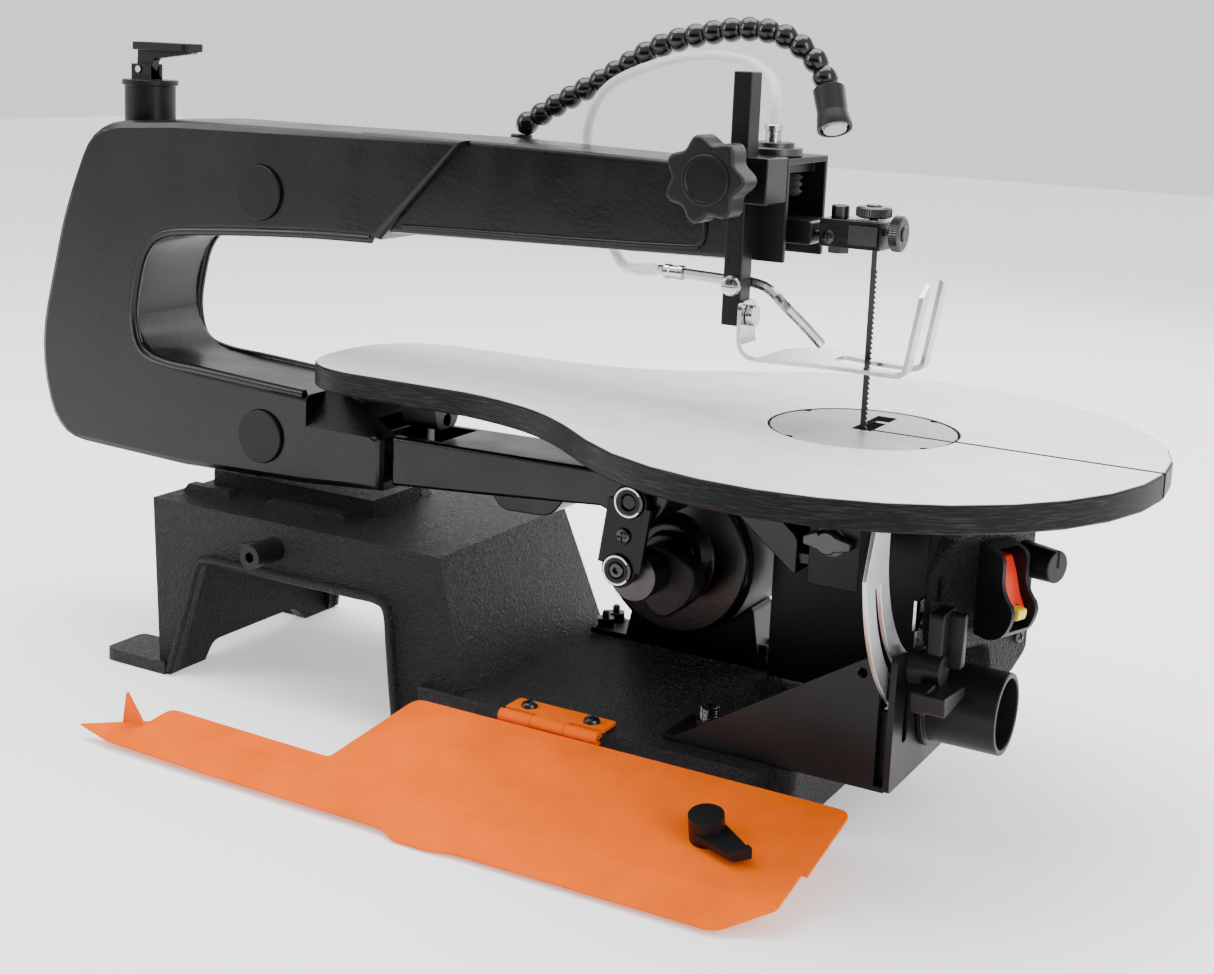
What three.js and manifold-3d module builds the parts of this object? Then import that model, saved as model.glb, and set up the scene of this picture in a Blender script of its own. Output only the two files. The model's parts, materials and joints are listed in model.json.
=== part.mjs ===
// Scroll saw: a parallel-arm machine with a tilting table, drawn with its side cover open.
// Millimetres, +Z up, +X towards the operator. While building, x = 0 and y = 0 are the blade
// line and z = 0 is the bench; the finished group is shifted so that its origin is the
// centre of the underside of its bounding box.

import * as THREE from 'three';
import * as BufferGeometryUtils from 'three/addons/utils/BufferGeometryUtils.js';
import Module from 'manifold-3d';

const wasm = await Module();
wasm.setup();

// ---- Driving dimensions -------------------------------------------------------------

const GAP = 0.3; // clearance between pieces that touch
const tableTop = 180; // height of the table surface
const tableThickness = 12.5;
const tableRadius = 140; // round front half of the table
const tableNeck = 53; // half width of the table's narrow rear
const tableRear = -307;
const tiltHeight = 150; // height of the table's tilt axis, which runs along X
const insertRadius = 44;
const tableHoleRadius = 45;

const frameHalf = 29; // half width of the C-shaped frame
const noseHalf = 24; // half width of the upper arm in front of the step
const channelHalf = 15; // half width of the hollow that holds the rocker arms
const armFront = -58; // front end of the upper arm
const frameFront = -259; // front end of the frame's lower limb
const upperPivot = { x: -342, z: 266 };
const lowerPivot = { x: -340, z: 131 };
const rearLinkX = -458; // the rocker arms' rear ends
const bladeLength = 140;
const bladeBottom = 126;

const bridgeTop = 95; // top of the base's raised rear bridge
const deckTop = 30; // top of the base's low front deck
const bridgeRear = -389;
const bridgeFront = -197;
const deckFront = 2;
const baseHalfTop = 62;
const baseHalfFloor = 74;

const motorAxis = { x: -108, z: 92 };
const crankThrow = 6.4;
const linkTop = { x: -107.5, z: 132 };

const hinge = { y: -79, z: 29, from: -147, to: -92 }; // the side cover's hinge line
const coverSag = THREE.MathUtils.degToRad(12); // how far the open cover hangs below level
const sheet = 1.5; // thickness of the cover's steel

const rodX = -53; // the drop foot's rod
const rodY = -36;
const clampHeight = 297; // height of the star knob's axis
const rodTop = 344;
const rodBottom = 228;

// ---- Materials ------------------------------------------------------------------------

const paint = (color, roughness = 0.4, metalness = 0.2) =>
  new THREE.MeshStandardMaterial({ color, roughness, metalness });

const crinkleBlack = () => paint(0x1b1b1c, 0.75, 0.3);
const glossBlack = () => paint(0x101011, 0.22, 0.3);
const satinBlack = () => paint(0x18181a, 0.5, 0.1);
const orangePaint = () => paint(0xff7a0a, 0.35, 0.1);
const brightSteel = () => paint(0xc9cbcf, 0.25, 0.95);
const brushedSteel = () => paint(0xb9bbbd, 0.45, 0.85);
const darkSteel = () => paint(0x3a3b3e, 0.35, 0.9);
const clearVinyl = () => new THREE.MeshStandardMaterial({
  color: 0xe8eeee, roughness: 0.2, metalness: 0, transparent: true, opacity: 0.5,
});

// ---- Helpers --------------------------------------------------------------------------

/** Turn a closed three.js geometry into a manifold solid. */
function solid(geometry) {
  const plain = geometry.index ? geometry.toNonIndexed() : geometry.clone();
  plain.deleteAttribute('normal');
  plain.deleteAttribute('uv');
  const merged = BufferGeometryUtils.mergeVertices(plain, 1e-3);
  return new wasm.Manifold(new wasm.Mesh({
    numProp: 3,
    vertProperties: Float32Array.from(merged.attributes.position.array),
    triVerts: Uint32Array.from(merged.index.array),
  }));
}

function toGeometry(manifold) {
  const mesh = manifold.getMesh();
  const geometry = new THREE.BufferGeometry();
  geometry.setAttribute('position', new THREE.BufferAttribute(mesh.vertProperties, 3));
  geometry.setIndex(new THREE.BufferAttribute(mesh.triVerts, 1));
  return geometry;
}

/** A closed outline from [u, v] or [u, v, corner radius] points. */
function outline(points) {
  const shape = new THREE.Shape();
  const count = points.length;
  const at = (i) => new THREE.Vector2(...points[(i + count) % count].slice(0, 2));
  points.forEach((point, i) => {
    const corner = at(i);
    const radius = point[2] ?? 0;
    if (radius === 0) {
      if (i === 0) shape.moveTo(corner.x, corner.y);
      else shape.lineTo(corner.x, corner.y);
      return;
    }
    const before = at(i - 1).sub(corner).normalize().multiplyScalar(radius).add(corner);
    const after = at(i + 1).sub(corner).normalize().multiplyScalar(radius).add(corner);
    if (i === 0) shape.moveTo(before.x, before.y);
    else shape.lineTo(before.x, before.y);
    shape.quadraticCurveTo(corner.x, corner.y, after.x, after.y);
  });
  shape.closePath();
  return shape;
}

/** Extrude a shape drawn in XZ along Y, in XY along Z, or in YZ along X. */
function extrude(shape, axis, from, to, bevel = 0, curveSegments = 4) {
  const geometry = new THREE.ExtrudeGeometry(shape, {
    depth: to - from - 2 * bevel,
    bevelEnabled: bevel > 0,
    bevelThickness: bevel,
    bevelSize: bevel,
    bevelOffset: -bevel,
    bevelSegments: 2,
    curveSegments,
  });
  geometry.translate(0, 0, from + bevel);
  if (axis === 'y') {
    geometry.scale(1, 1, -1).rotateX(Math.PI / 2);
    return flip(geometry);
  }
  if (axis === 'x') geometry.applyMatrix4(new THREE.Matrix4().set(
    0, 0, 1, 0,
    1, 0, 0, 0,
    0, 1, 0, 0,
    0, 0, 0, 1,
  ));
  return geometry;
}

/** Reverse every face of a mirrored geometry, so that its faces point out again. */
function flip(geometry) {
  const flat = geometry.index ? geometry.toNonIndexed() : geometry;
  const position = flat.attributes.position;
  for (let i = 0; i < position.count; i += 3) {
    const a = new THREE.Vector3().fromBufferAttribute(position, i);
    const b = new THREE.Vector3().fromBufferAttribute(position, i + 1);
    position.setXYZ(i, b.x, b.y, b.z);
    position.setXYZ(i + 1, a.x, a.y, a.z);
  }
  return flat;
}

function box(x0, x1, y0, y1, z0, z1) {
  return new THREE.BoxGeometry(x1 - x0, y1 - y0, z1 - z0)
    .translate((x0 + x1) / 2, (y0 + y1) / 2, (z0 + z1) / 2);
}

/** A box whose lower rectangle and upper rectangle differ: [x0, x1, y0, y1] at two heights. */
function tapered(low, high, z0, z1) {
  const geometry = new THREE.BoxGeometry(1, 1, 1);
  const position = geometry.attributes.position;
  for (let i = 0; i < position.count; i += 1) {
    const upper = position.getZ(i) > 0;
    const [x0, x1, y0, y1] = upper ? high : low;
    position.setXYZ(
      i,
      position.getX(i) > 0 ? x1 : x0,
      position.getY(i) > 0 ? y1 : y0,
      upper ? z1 : z0,
    );
  }
  return geometry;
}

/** A round bar along an axis, from one end to the other; the two radii may differ. */
function bar(axis, centre, from, to, radius, endRadius = radius, sides = 20) {
  const geometry = new THREE.CylinderGeometry(endRadius, radius, to - from, sides);
  if (axis === 'x') geometry.rotateZ(-Math.PI / 2);
  if (axis === 'z') geometry.rotateX(Math.PI / 2);
  const middle = (from + to) / 2;
  const [u, v] = centre;
  if (axis === 'x') return geometry.translate(middle, u, v);
  if (axis === 'y') return geometry.translate(u, middle, v);
  return geometry.translate(u, v, middle);
}

/** A round section pushed along a curve, with flat closed ends. */
function tube(points, radius, sides = 8, steps = 24) {
  const curve = new THREE.CatmullRomCurve3(points.map((p) => new THREE.Vector3(...p)));
  const section = new THREE.Shape();
  section.absarc(0, 0, radius, 0, 2 * Math.PI, false);
  return new THREE.ExtrudeGeometry(section, {
    steps, extrudePath: curve, bevelEnabled: false, curveSegments: sides / 2,
  });
}

const join = (...geometries) => geometries.map(solid).reduce((sum, piece) => sum.add(piece));
const cut = (body, ...geometries) =>
  geometries.map(solid).reduce((rest, piece) => rest.subtract(piece), body);

const saw = new THREE.Group();
saw.name = 'scroll_saw';

/** Add one named piece, given as a geometry or as a manifold solid. */
function add(name, shape, material, parent = saw) {
  const geometry = shape.isBufferGeometry ? shape : toGeometry(shape);
  const mesh = new THREE.Mesh(geometry, material);
  mesh.name = name;
  parent.add(mesh);
  return mesh;
}

// ---- Base -----------------------------------------------------------------------------

function makeBase() {
  const wall = 7;
  const floorRear = -373;
  const slopeFoot = -174;
  const bridge = solid(tapered(
    [floorRear, slopeFoot + 11, -baseHalfFloor, baseHalfFloor],
    [bridgeRear, bridgeFront, -baseHalfTop, baseHalfTop],
    0, bridgeTop,
  ));
  const deckHalf = baseHalfFloor;
  const deck = solid(extrude(outline([
    [-200, -deckHalf], [-12, -deckHalf, 6], [-8, -deckHalf + 9, 4], [deckFront, -deckHalf + 9, 6],
    [deckFront, deckHalf - 9, 6], [-8, deckHalf - 9, 4], [-12, deckHalf, 6], [-200, deckHalf],
  ]), 'z', 0, deckTop));
  const hollows = [
    tapered(
      [floorRear + wall, slopeFoot - 4, -baseHalfFloor + wall, baseHalfFloor - wall],
      [bridgeRear + wall + 1, bridgeFront - wall, -baseHalfTop + wall, baseHalfTop - wall],
      -1, bridgeTop - wall,
    ),
    box(slopeFoot + 10, deckFront - wall, -deckHalf + 16, deckHalf - 16, -1, deckTop - wall),
  ];
  const arch = extrude(outline([
    [-366, -1], [-352, 67, 4], [-226, 67, 6], [-212, -1],
  ]), 'y', -100, 100);
  const rearNotch = extrude(outline([
    [-46, -1], [-36, 9, 5], [36, 9, 5], [46, -1],
  ]), 'x', -420, -360);
  let base = cut(bridge.add(deck), ...hollows, arch, rearNotch);
  for (const side of [-1, 1]) {
    const inner = side < 0 ? [-76, -46] : [46, 76];
    base = base.add(solid(extrude(outline([
      [-412, inner[0], 5], [-368, inner[0]], [-368, inner[1]], [-412, inner[1], 5],
    ]), 'z', 0, 7)));
    const ribY = side * 36;
    for (const [from, to] of [[-387, -352], [-329, -272]]) {
      base = base.add(solid(tapered(
        [from, to, ribY - 5, ribY + 5], [from + 3, to - 3, ribY - 3, ribY + 3], 94, 99,
      )));
    }
  }
  const saddle = box(-380, -268, -22, 22, 94, 104.4);
  base = base.add(solid(saddle));
  add('base', base, crinkleBlack());
}

function makeSidePost() {
  const axis = [-300, 82];
  const post = join(
    bar('y', axis, -86, -65, 6.4),
    extrude(outline([[-316, 84], [-301, 88, 2], [-300, 76, 2]]), 'y', -76, -69),
  );
  const socket = new THREE.CylinderGeometry(3, 3, 8, 6).translate(axis[0], -86, axis[1]);
  add('side_post', cut(post, socket), satinBlack());
}

// ---- Frame: the C-shaped casting and its nose -------------------------------------------

function makeFrame() {
  const rear = extrude(outline([
    [-212, 302], [-402, 301], [-466, 297, 22], [-490, 244, 20], [-513, 158, 30],
    [-497, 108, 22], [-398, 105], [-311, 108], [frameFront, 112], [frameFront, 141],
    [-285, 157, 8], [-383, 162], [-432, 166, 24], [-436, 197, 14], [-424, 236, 22],
    [-373, 242], [-313, 246], [-264, 247],
  ]), 'y', -frameHalf, frameHalf, 4, 5);
  const arm = extrude(outline([
    [-280, 250], [-150, 254], [armFront, 256], [armFront, 302], [-95, 300], [-190, 302],
    [-280, 302],
  ]), 'y', -noseHalf, noseHalf, 3);
  const channels = [
    extrude(outline([
      [-474, 254], [-330, 250], [-200, 256], [-20, 258.5], [-20, 291], [-440, 289], [-467, 280],
    ]), 'y', -channelHalf, channelHalf),
    box(-474, -441, -channelHalf, channelHalf, 118, 262),
    extrude(outline([
      [-486, 118], [-240, 119], [-240, 147], [-300, 150], [-486, 150],
    ]), 'y', -channelHalf, channelHalf),
    bar('z', [-448, 0], 240, 320, 8),
    bar('z', [-448, 0], 296 - GAP, 320, 14.5 + GAP, 14.5 + GAP, 28),
  ];
  const pockets = [upperPivot, lowerPivot].flatMap(({ x, z }) => [
    bar('y', [x, z], -40, 40, 6 + GAP),
    bar('y', [x, z], -40, -frameHalf + 2, 15 + GAP, 15 + GAP, 24),
  ]);
  const tableRelief = extrude(outline([
    [-60, 110], [-60, 175], [-12, 175], [-12, 158],
  ]), 'x', -309, -200);
  add('c_frame', cut(solid(rear).add(solid(arm)), ...channels, ...pockets, tableRelief), glossBlack());
}

function makePivots() {
  for (const [name, pivot] of [['upper', upperPivot], ['lower', lowerPivot]]) {
    const centre = [pivot.x, pivot.z];
    add(`${name}_pivot_cap`, bar('y', centre, -31.2, -27 - GAP, 15, 15, 24), satinBlack());
    add(`${name}_pivot_pin`, bar('y', centre, -26, 26, 6), darkSteel());
  }
}

/** The U-shaped nose on the front of the upper arm, open to the front. */
function makeNose() {
  const front = -36;
  const nose = join(
    box(armFront + GAP, front - 6, -noseHalf, noseHalf, 297, 305),
    box(armFront - 12, front - 6, -noseHalf, noseHalf - 10, 302 + GAP, 305),
    box(armFront + GAP, front, -noseHalf, -noseHalf + 3, 257, 305),
    box(armFront + GAP, front, noseHalf - 3, noseHalf, 257, 305),
    box(armFront + GAP, front, -noseHalf, noseHalf, 302, 305),
    box(armFront + GAP, front - 8, -noseHalf, -15, 257, 260),
  );
  add('arm_nose', nose, satinBlack());
}

/** Air pump: a bellows in the nose, worked by the upper rocker arm. */
function makeAirPump() {
  const profile = [[0, 286.5]];
  const pleats = 3;
  const pitch = 5;
  for (let i = 0; i < pleats; i += 1) {
    profile.push([6, 286.6 + i * pitch * 0.7], [8, 286.6 + (i + 0.5) * pitch * 0.7]);
  }
  profile.push([6, 296.6], [0, 296.6]);
  const bellows = new THREE.LatheGeometry(profile.map((p) => new THREE.Vector2(...p)), 20)
    .rotateX(Math.PI / 2);
  add('air_bellows', flipIfInside(bellows).translate(-47, 0, 0), paint(0x202022, 0.6, 0));
  const fitting = join(
    bar('z', [-51, -8], 305 + GAP, 309, 14, 14, 24),
    bar('z', [-51, -8], 308, 311.5, 10, 10, 20),
    bar('z', [-51, -8], 311, 319, 3.4, 3.4, 12),
  );
  add('air_fitting', fitting, darkSteel());
}

/** Lathes drawn from the bottom up face out; those drawn from the top down are reversed. */
function flipIfInside(geometry) {
  return solid(geometry).volume() > 0 ? geometry : flip(geometry.toNonIndexed());
}

function makeAirHose() {
  const route = [
    [-51, -8, 319.4], [-51, -7, 330], [-59, 2, 341], [-78, 12, 348], [-104, 20, 349],
    [-134, 26, 343], [-158, 24, 331], [-171, 29, 313], [-174, 34, 293], [-168, 35, 270],
    [-158, 32, 252], [-146, 20, 245], [-132, 2, 243.5], [-115, -19, 246], [-100.2, -26.9, 248],
  ];
  add('air_hose', tube(route, 2.9, 8, 44), clearVinyl());
}

// ---- Rocker arms and their drive ----------------------------------------------------------

function makeUpperRocker() {
  const arm = solid(extrude(outline([
    [rearLinkX - 8, 262, 3], [-370, 258], [-314, 258], [-60, 265], [-28, 265, 2], [-28, 276, 2],
    [-60, 277], [-314, 276], [-370, 276], [rearLinkX - 8, 274, 3],
  ]), 'y', -11, 11));
  const tongue = solid(box(-29, -7, -6, 6, 268.7, 271.3));
  const bore = bar('y', [upperPivot.x, upperPivot.z], -20, 20, 6 + GAP);
  add('upper_rocker_arm', cut(arm.add(tongue), bore), satinBlack());
}

function makeLowerRocker() {
  const inner = solid(extrude(outline([
    [rearLinkX - 8, 128, 3], [-370, 122], [-314, 122], [-240, 122], [-240, 142],
    [-314, 141], [-370, 141], [rearLinkX - 8, 140, 3],
  ]), 'y', -12, 12));
  const beam = solid(extrude(outline([
    [-256, 115], [-200, 119], [-128, 125], [-117, 121, 4], [-97, 121, 5], [-90, 130, 5],
    [-90, 144.5, 4], [-140, 144], [-256, 142],
  ]), 'y', -23, 23, 2));
  const boss = solid(extrude(outline([
    [-196, 122], [-190, 112, 6], [-158, 113, 8], [-150, 126],
  ]), 'y', -18, 18));
  const reach = solid(extrude(outline([
    [-100, 136], [-64, 134], [-26, 104, 3], [-26, 124, 3], [-56, 148], [-100, 147],
  ]), 'y', -9, 9));
  const bore = bar('y', [lowerPivot.x, lowerPivot.z], -20, 20, 6 + GAP);
  const tongue = solid(box(-28, -5, -6, 6, 110, 116));
  const recess = box(-266, -228, -17, 17, 132, 150); // clears the table's rear pivot block
  const linkPin = solid(bar('y', [linkTop.x, linkTop.z], -30, -20, 4));
  const arm = cut(inner.add(beam).add(boss).add(reach).add(tongue), bore, recess).add(linkPin);
  add('lower_rocker_arm', arm, glossBlack());
}

/** The rod that ties the rocker arms' rear ends together. */
function makeRearLink() {
  const slimEnd = 4;
  const link = join(
    bar('z', [rearLinkX, 0], 144, 258, slimEnd, slimEnd, 12),
    box(rearLinkX - 6, rearLinkX + 6, -9, 9, 144, 150),
    box(rearLinkX - 6, rearLinkX + 6, -9, 9, 252, 258),
  );
  add('rear_link', link, darkSteel());
}

function makeDrive() {
  const { x, z } = motorAxis;
  const pin = { x: x - crankThrow * 0.7, z: z + crankThrow * 0.7 };
  add('drive_link', cut(
    solid(extrude(linkShape(linkTop, pin, 9.4, 0), 'y', -29, -26))
      .add(solid(extrude(linkShape(linkTop, pin, 12, 1), 'y', -29, -26))),
    bar('y', [linkTop.x, linkTop.z], -40, -20, 8 + GAP),
    bar('y', [pin.x, pin.z], -40, -20, 8 + GAP),
  ), satinBlack());
  const rings = [['upper', linkTop, -24.5], ['lower', pin, -26]];
  for (const [name, centre, inner] of rings) {
    const ring = cut(
      solid(bar('y', [centre.x, centre.z], -30.5, inner + 0.2, 8, 8, 20)),
      bar('y', [centre.x, centre.z], -40, -20, 4 + GAP, 4 + GAP, 16),
    );
    add(`link_bearing_${name}`, ring, brightSteel());
  }
  const crank = join(
    bar('y', [x, z], -12, 25, 6, 6, 16),
    bar('y', [x, z], -22, -8, 13, 13, 24),
    bar('y', [pin.x, pin.z], -25, -21, 6, 6, 16),
  );
  add('drive_crank', crank, darkSteel());
}

/** A plate that joins two centres: with round ends, or square ends short of the centres. */
function linkShape(top, bottom, halfWidth, shortBy) {
  const direction = new THREE.Vector2(top.x - bottom.x, top.z - bottom.z);
  const angle = Math.atan2(direction.y, direction.x);
  const shape = new THREE.Shape();
  if (shortBy === 0) {
    shape.absarc(top.x, top.z, halfWidth, angle - Math.PI / 2, angle + Math.PI / 2, false);
    shape.absarc(bottom.x, bottom.z, halfWidth, angle + Math.PI / 2, angle + 1.5 * Math.PI, false);
    shape.closePath();
    return shape;
  }
  const along = direction.clone().normalize();
  const corner = (end, step, side) => [
    end.x + along.x * step - along.y * side, end.z + along.y * step + along.x * side,
  ];
  return outline([
    corner(top, -shortBy, -halfWidth), corner(top, -shortBy, halfWidth),
    corner(bottom, shortBy, halfWidth), corner(bottom, shortBy, -halfWidth),
  ]);
}

function makeCounterweight() {
  const { x, z } = motorAxis;
  const shape = new THREE.Shape();
  shape.moveTo(x - 9, z + 7);
  shape.quadraticCurveTo(x + 8, z + 17, x + 24, z + 5);
  shape.quadraticCurveTo(x + 32, z - 11, x + 13, z - 23);
  shape.quadraticCurveTo(x + 6, z - 27, x - 1, z - 19);
  shape.quadraticCurveTo(x - 14, z - 4, x - 9, z + 7);
  const weight = cut(solid(extrude(shape, 'y', -5, 9, 1.5, 9)), bar('y', [x, z], -30, 30, 6 + GAP));
  add('counterweight', weight, paint(0x242426, 0.6, 0.4));
}

function makeMotor() {
  const { x, z } = motorAxis;
  const canRadius = 44;
  const bell = cut(
    join(
      bar('y', [x, z], 23.5, 26, canRadius - 3, canRadius - 1, 40),
      bar('y', [x, z], 19, 24, 18, 24, 32),
      bar('y', [x, z], 13, 20, 14, 14, 20),
    ),
    bar('y', [x, z], -20, 40, 6 + GAP),
  );
  add('motor_end_bell', bell, glossBlack());
  const can = join(
    bar('y', [x, z], 26 + GAP, 98, canRadius, canRadius, 40),
    bar('y', [x, z], 97, 106, 30, 24, 24),
  );
  add('motor_can', can, glossBlack());
  const bracket = solid(extrude(outline([
    [x - 62, deckTop + GAP], [x + 46, deckTop + GAP], [x + 46, deckTop + 3.5],
    [x + 40, deckTop + 3.5], [x + 35, deckTop + 34, 4], [x - 34, deckTop + 34, 4],
    [x - 40, deckTop + 3.5], [x - 62, deckTop + 3.5],
  ]), 'y', 50, 74));
  const saddle = bar('y', [x, z], 20, 120, canRadius + GAP, canRadius + GAP, 40);
  add('motor_bracket', cut(bracket, saddle), darkSteel());
}

// ---- Tension knob and cam lever -------------------------------------------------------------

function makeTension() {
  const x = -448;
  const collar = join(
    bar('z', [x, 0], 296, 319, 14.5, 14.5, 28),
    bar('z', [x, 0], 318, 321, 16, 16, 28),
    box(x - 9, x + 4, -6, 6, 320, 330),
    bar('z', [x, 0], 281, 303, 6, 6, 12),
  );
  const slot = box(x - 20, x + 20, -3.3, 3.3, 321.5, 345);
  const pinAxis = [x - 3, 327];
  add('tension_collar', cut(collar, slot, bar('y', pinAxis, -20, 20, 2.3)), satinBlack());
  add('tension_pin', bar('y', pinAxis, -7, 7, 2, 2, 12), brightSteel());
  const lever = cut(
    solid(extrude(outline([
      [x - 7, 335, 2], [x - 8, 323.5, 3], [x + 2, 322.5, 3], [x + 5, 333, 2], [x + 34, 337, 2],
      [x + 34, 342.5, 2], [x - 7, 342.5, 2],
    ]), 'y', -3, 3)).add(solid(extrude(outline([
      [x - 7, -8, 2], [x + 34, -8, 3], [x + 34, 8, 3], [x - 7, 8, 2],
    ]), 'z', 338, 342.5))),
    bar('y', pinAxis, -20, 20, 2.3),
  );
  add('tension_lever', lever, satinBlack());
}

// ---- Blade and its clamps ---------------------------------------------------------------------

function makeBladeSet() {
  const top = bladeBottom + bladeLength;
  add('blade', box(-1.6, 0.9, -0.35, 0.35, bladeBottom, top), darkSteel());
  const upper = cut(
    solid(box(-25, 5, -9, 9, 265, 278)),
    box(-30, -5, -6.6, 6.6, 268, 272),
    box(-2.2, 2.2, -0.8, 0.8, 250, top + 1),
  );
  add('upper_blade_clamp', upper, darkSteel());
  const lower = cut(
    solid(box(-20, 6, -9, 9, 102, 133)),
    box(-25, -3, -6.6, 6.6, 108, 118),
    box(-2.2, 2.2, -0.8, 0.8, bladeBottom - 1, 140),
  );
  add('lower_blade_clamp', lower, satinBlack());
}

/** A knurled thumbscrew: a toothed head on a short shank. */
function thumbscrew(radius, thickness, shank) {
  const teeth = 18;
  const shape = new THREE.Shape();
  for (let i = 0; i < teeth * 2; i += 1) {
    const angle = (i * Math.PI) / teeth;
    const r = i % 2 ? radius : radius - 0.8;
    const point = [r * Math.cos(angle), r * Math.sin(angle)];
    if (i === 0) shape.moveTo(...point);
    else shape.lineTo(...point);
  }
  shape.closePath();
  const head = new THREE.ExtrudeGeometry(shape, { depth: thickness, bevelEnabled: false });
  return join(head, new THREE.CylinderGeometry(2, 2, shank, 12).rotateX(Math.PI / 2)
    .translate(0, 0, -shank / 2 + 0.5));
}

function makeThumbscrews() {
  const top = add('thumbscrew_top', thumbscrew(8, 3, 4), darkSteel());
  top.position.set(-2, 0, 281.6);
  const front = add('thumbscrew_front', thumbscrew(8, 3, 5), darkSteel());
  front.position.set(10.2, 0, 273);
  front.rotation.y = Math.PI / 2;
}

function makeWingNut() {
  const wing = new THREE.Shape();
  wing.moveTo(-12, 2);
  wing.lineTo(-5, 5);
  wing.absarc(0, 0, 5.5, 2.4, 0.74, true);
  wing.lineTo(12, 2);
  wing.lineTo(12, -2);
  wing.absarc(0, 0, 5.5, -0.74, -2.4, true);
  wing.lineTo(-12, -2);
  wing.closePath();
  const nut = add('wing_nut', extrude(wing, 'y', -15, -9 - GAP), darkSteel());
  nut.position.set(-9, 0, 125);
}

// ---- Drop foot, its rod and the blower tube -------------------------------------------------

function makeRodClamp() {
  const clamp = cut(
    solid(box(rodX - 9, rodX + 17, -47, -noseHalf - GAP, clampHeight - 12, clampHeight + 9)),
    box(rodX - 5, rodX + 5, rodY - 6.5, rodY + 6.5, 270, 310),
    bar('y', [rodX, clampHeight], -60, rodY, 3 + GAP, 3 + GAP, 12),
  );
  add('rod_clamp', clamp, glossBlack());
}

function makeFootRod() {
  const bar1 = extrude(outline([
    [rodX - 4.5, rodY - 6, 1], [rodX + 4.5, rodY - 6, 1], [rodX + 4.5, rodY + 6, 1],
    [rodX - 4.5, rodY + 6, 1],
  ]), 'z', rodBottom, rodTop);
  add('foot_rod', bar1, satinBlack());
}

/** Star knob with rounded lobes, screwed through the clamp onto the rod. */
function makeRodKnob() {
  const lobes = 7;
  const outer = 20;
  const inner = 16;
  const shape = new THREE.Shape();
  const steps = lobes * 8;
  for (let i = 0; i < steps; i += 1) {
    const angle = (i * 2 * Math.PI) / steps;
    const radius = (outer + inner) / 2 + ((outer - inner) / 2) * Math.cos(lobes * angle);
    const point = [rodX + radius * Math.cos(angle), clampHeight + radius * Math.sin(angle)];
    if (i === 0) shape.moveTo(...point);
    else shape.lineTo(...point);
  }
  shape.closePath();
  const knob = join(
    extrude(shape, 'y', -78, -62, 2),
    bar('y', [rodX, clampHeight], -63, -52, 9, 9, 20),
    bar('y', [rodX, clampHeight], -53, rodY - 6 - GAP, 3, 3, 12),
  );
  add('rod_knob', knob, satinBlack());
}

function makeDropFoot() {
  const height = 208.4; // underside of the fork
  const thick = 2;
  const face = rodX + 4.5 + GAP;
  const near = rodY - 8;
  const outer = 15.7; // the fork's arms run between these two distances from the blade line
  const inner = 8.4;
  const tab = extrude(outline([
    [near, 225], [rodY + 8, 225], [rodY + 8, 240, 4], [near, 240, 4],
  ]), 'x', face, face + thick);
  const strip = solid(extrude(outline([
    [face, 228], [face, 213.6, 10], [-30, 211.6, 7], [0, height, 12], [24, height, 5], [31, 252],
    [29, 253], [22.3, height + thick, 4], [0, height + thick, 12], [-30, 211.6 + thick, 7],
    [face + thick, 215.6, 8], [face + thick, 228],
  ]), 'y', near, outer));
  const plan = extrude(outline([
    [face, near], [-42, near, 4], [-4, -outer, 14], [40, -outer], [40, -inner], [-15, -inner, 5],
    [-15, inner, 5], [40, inner], [40, outer], [-28, outer, 10], [-42, rodY + 16, 6],
    [face + 3, rodY + 8, 3], [face, rodY + 8],
  ]), 'z', 200, 260);
  const bevels = [-1, 1].map((side) => extrude(outline([
    [side * 16.5, 246], [side * 16.5, 256], [side * 7, 256],
  ]), 'x', 20, 40));
  const foot = solid(tab).add(cut(strip.intersect(solid(plan)), ...bevels));
  const hole = bar('x', [rodY, 233], -60, -30, 2.6, 2.6, 12);
  add('drop_foot', cut(foot, hole), brightSteel());
  const screw = join(
    bar('x', [rodY, 233], face + thick + GAP, face + thick + 4, 5, 5, 16),
    bar('x', [rodY, 233], face + GAP, face + thick + 1, 2.3, 2.3, 12),
  );
  add('foot_screw', screw, brightSteel());
}

function makeBlowerTube() {
  const y = rodY + 6 + GAP + 2.6;
  const route = [
    [-98.6, -27, 248], [-90, y, 247.8], [-75, y, 247.4], [-60, y, 247], [-48, y, 246.8],
    [-40, y, 244.5], [-32.5, y + 0.4, 238], [-26, -19, 229], [-20, -10, 219],
  ];
  add('blower_tube', tube(route, 2.5, 8, 26), brightSteel());
}

// ---- Lamp on a ball-jointed neck -----------------------------------------------------------

const neckPlane = 36; // the neck lies in a plane on the far side of the arm
const neckPath = new THREE.CatmullRomCurve3([
  [-217, 307], [-195, 320], [-165, 336], [-135, 353], [-104, 361], [-82, 363], [-66, 360],
  [-54, 352.5], [-46, 344.5], [-43, 336],
].map(([x, z]) => new THREE.Vector3(x, neckPlane, z)));
const neckBeads = 20;
const headAim = new THREE.Vector3(0.36, -0.38, -0.85).normalize();

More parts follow.
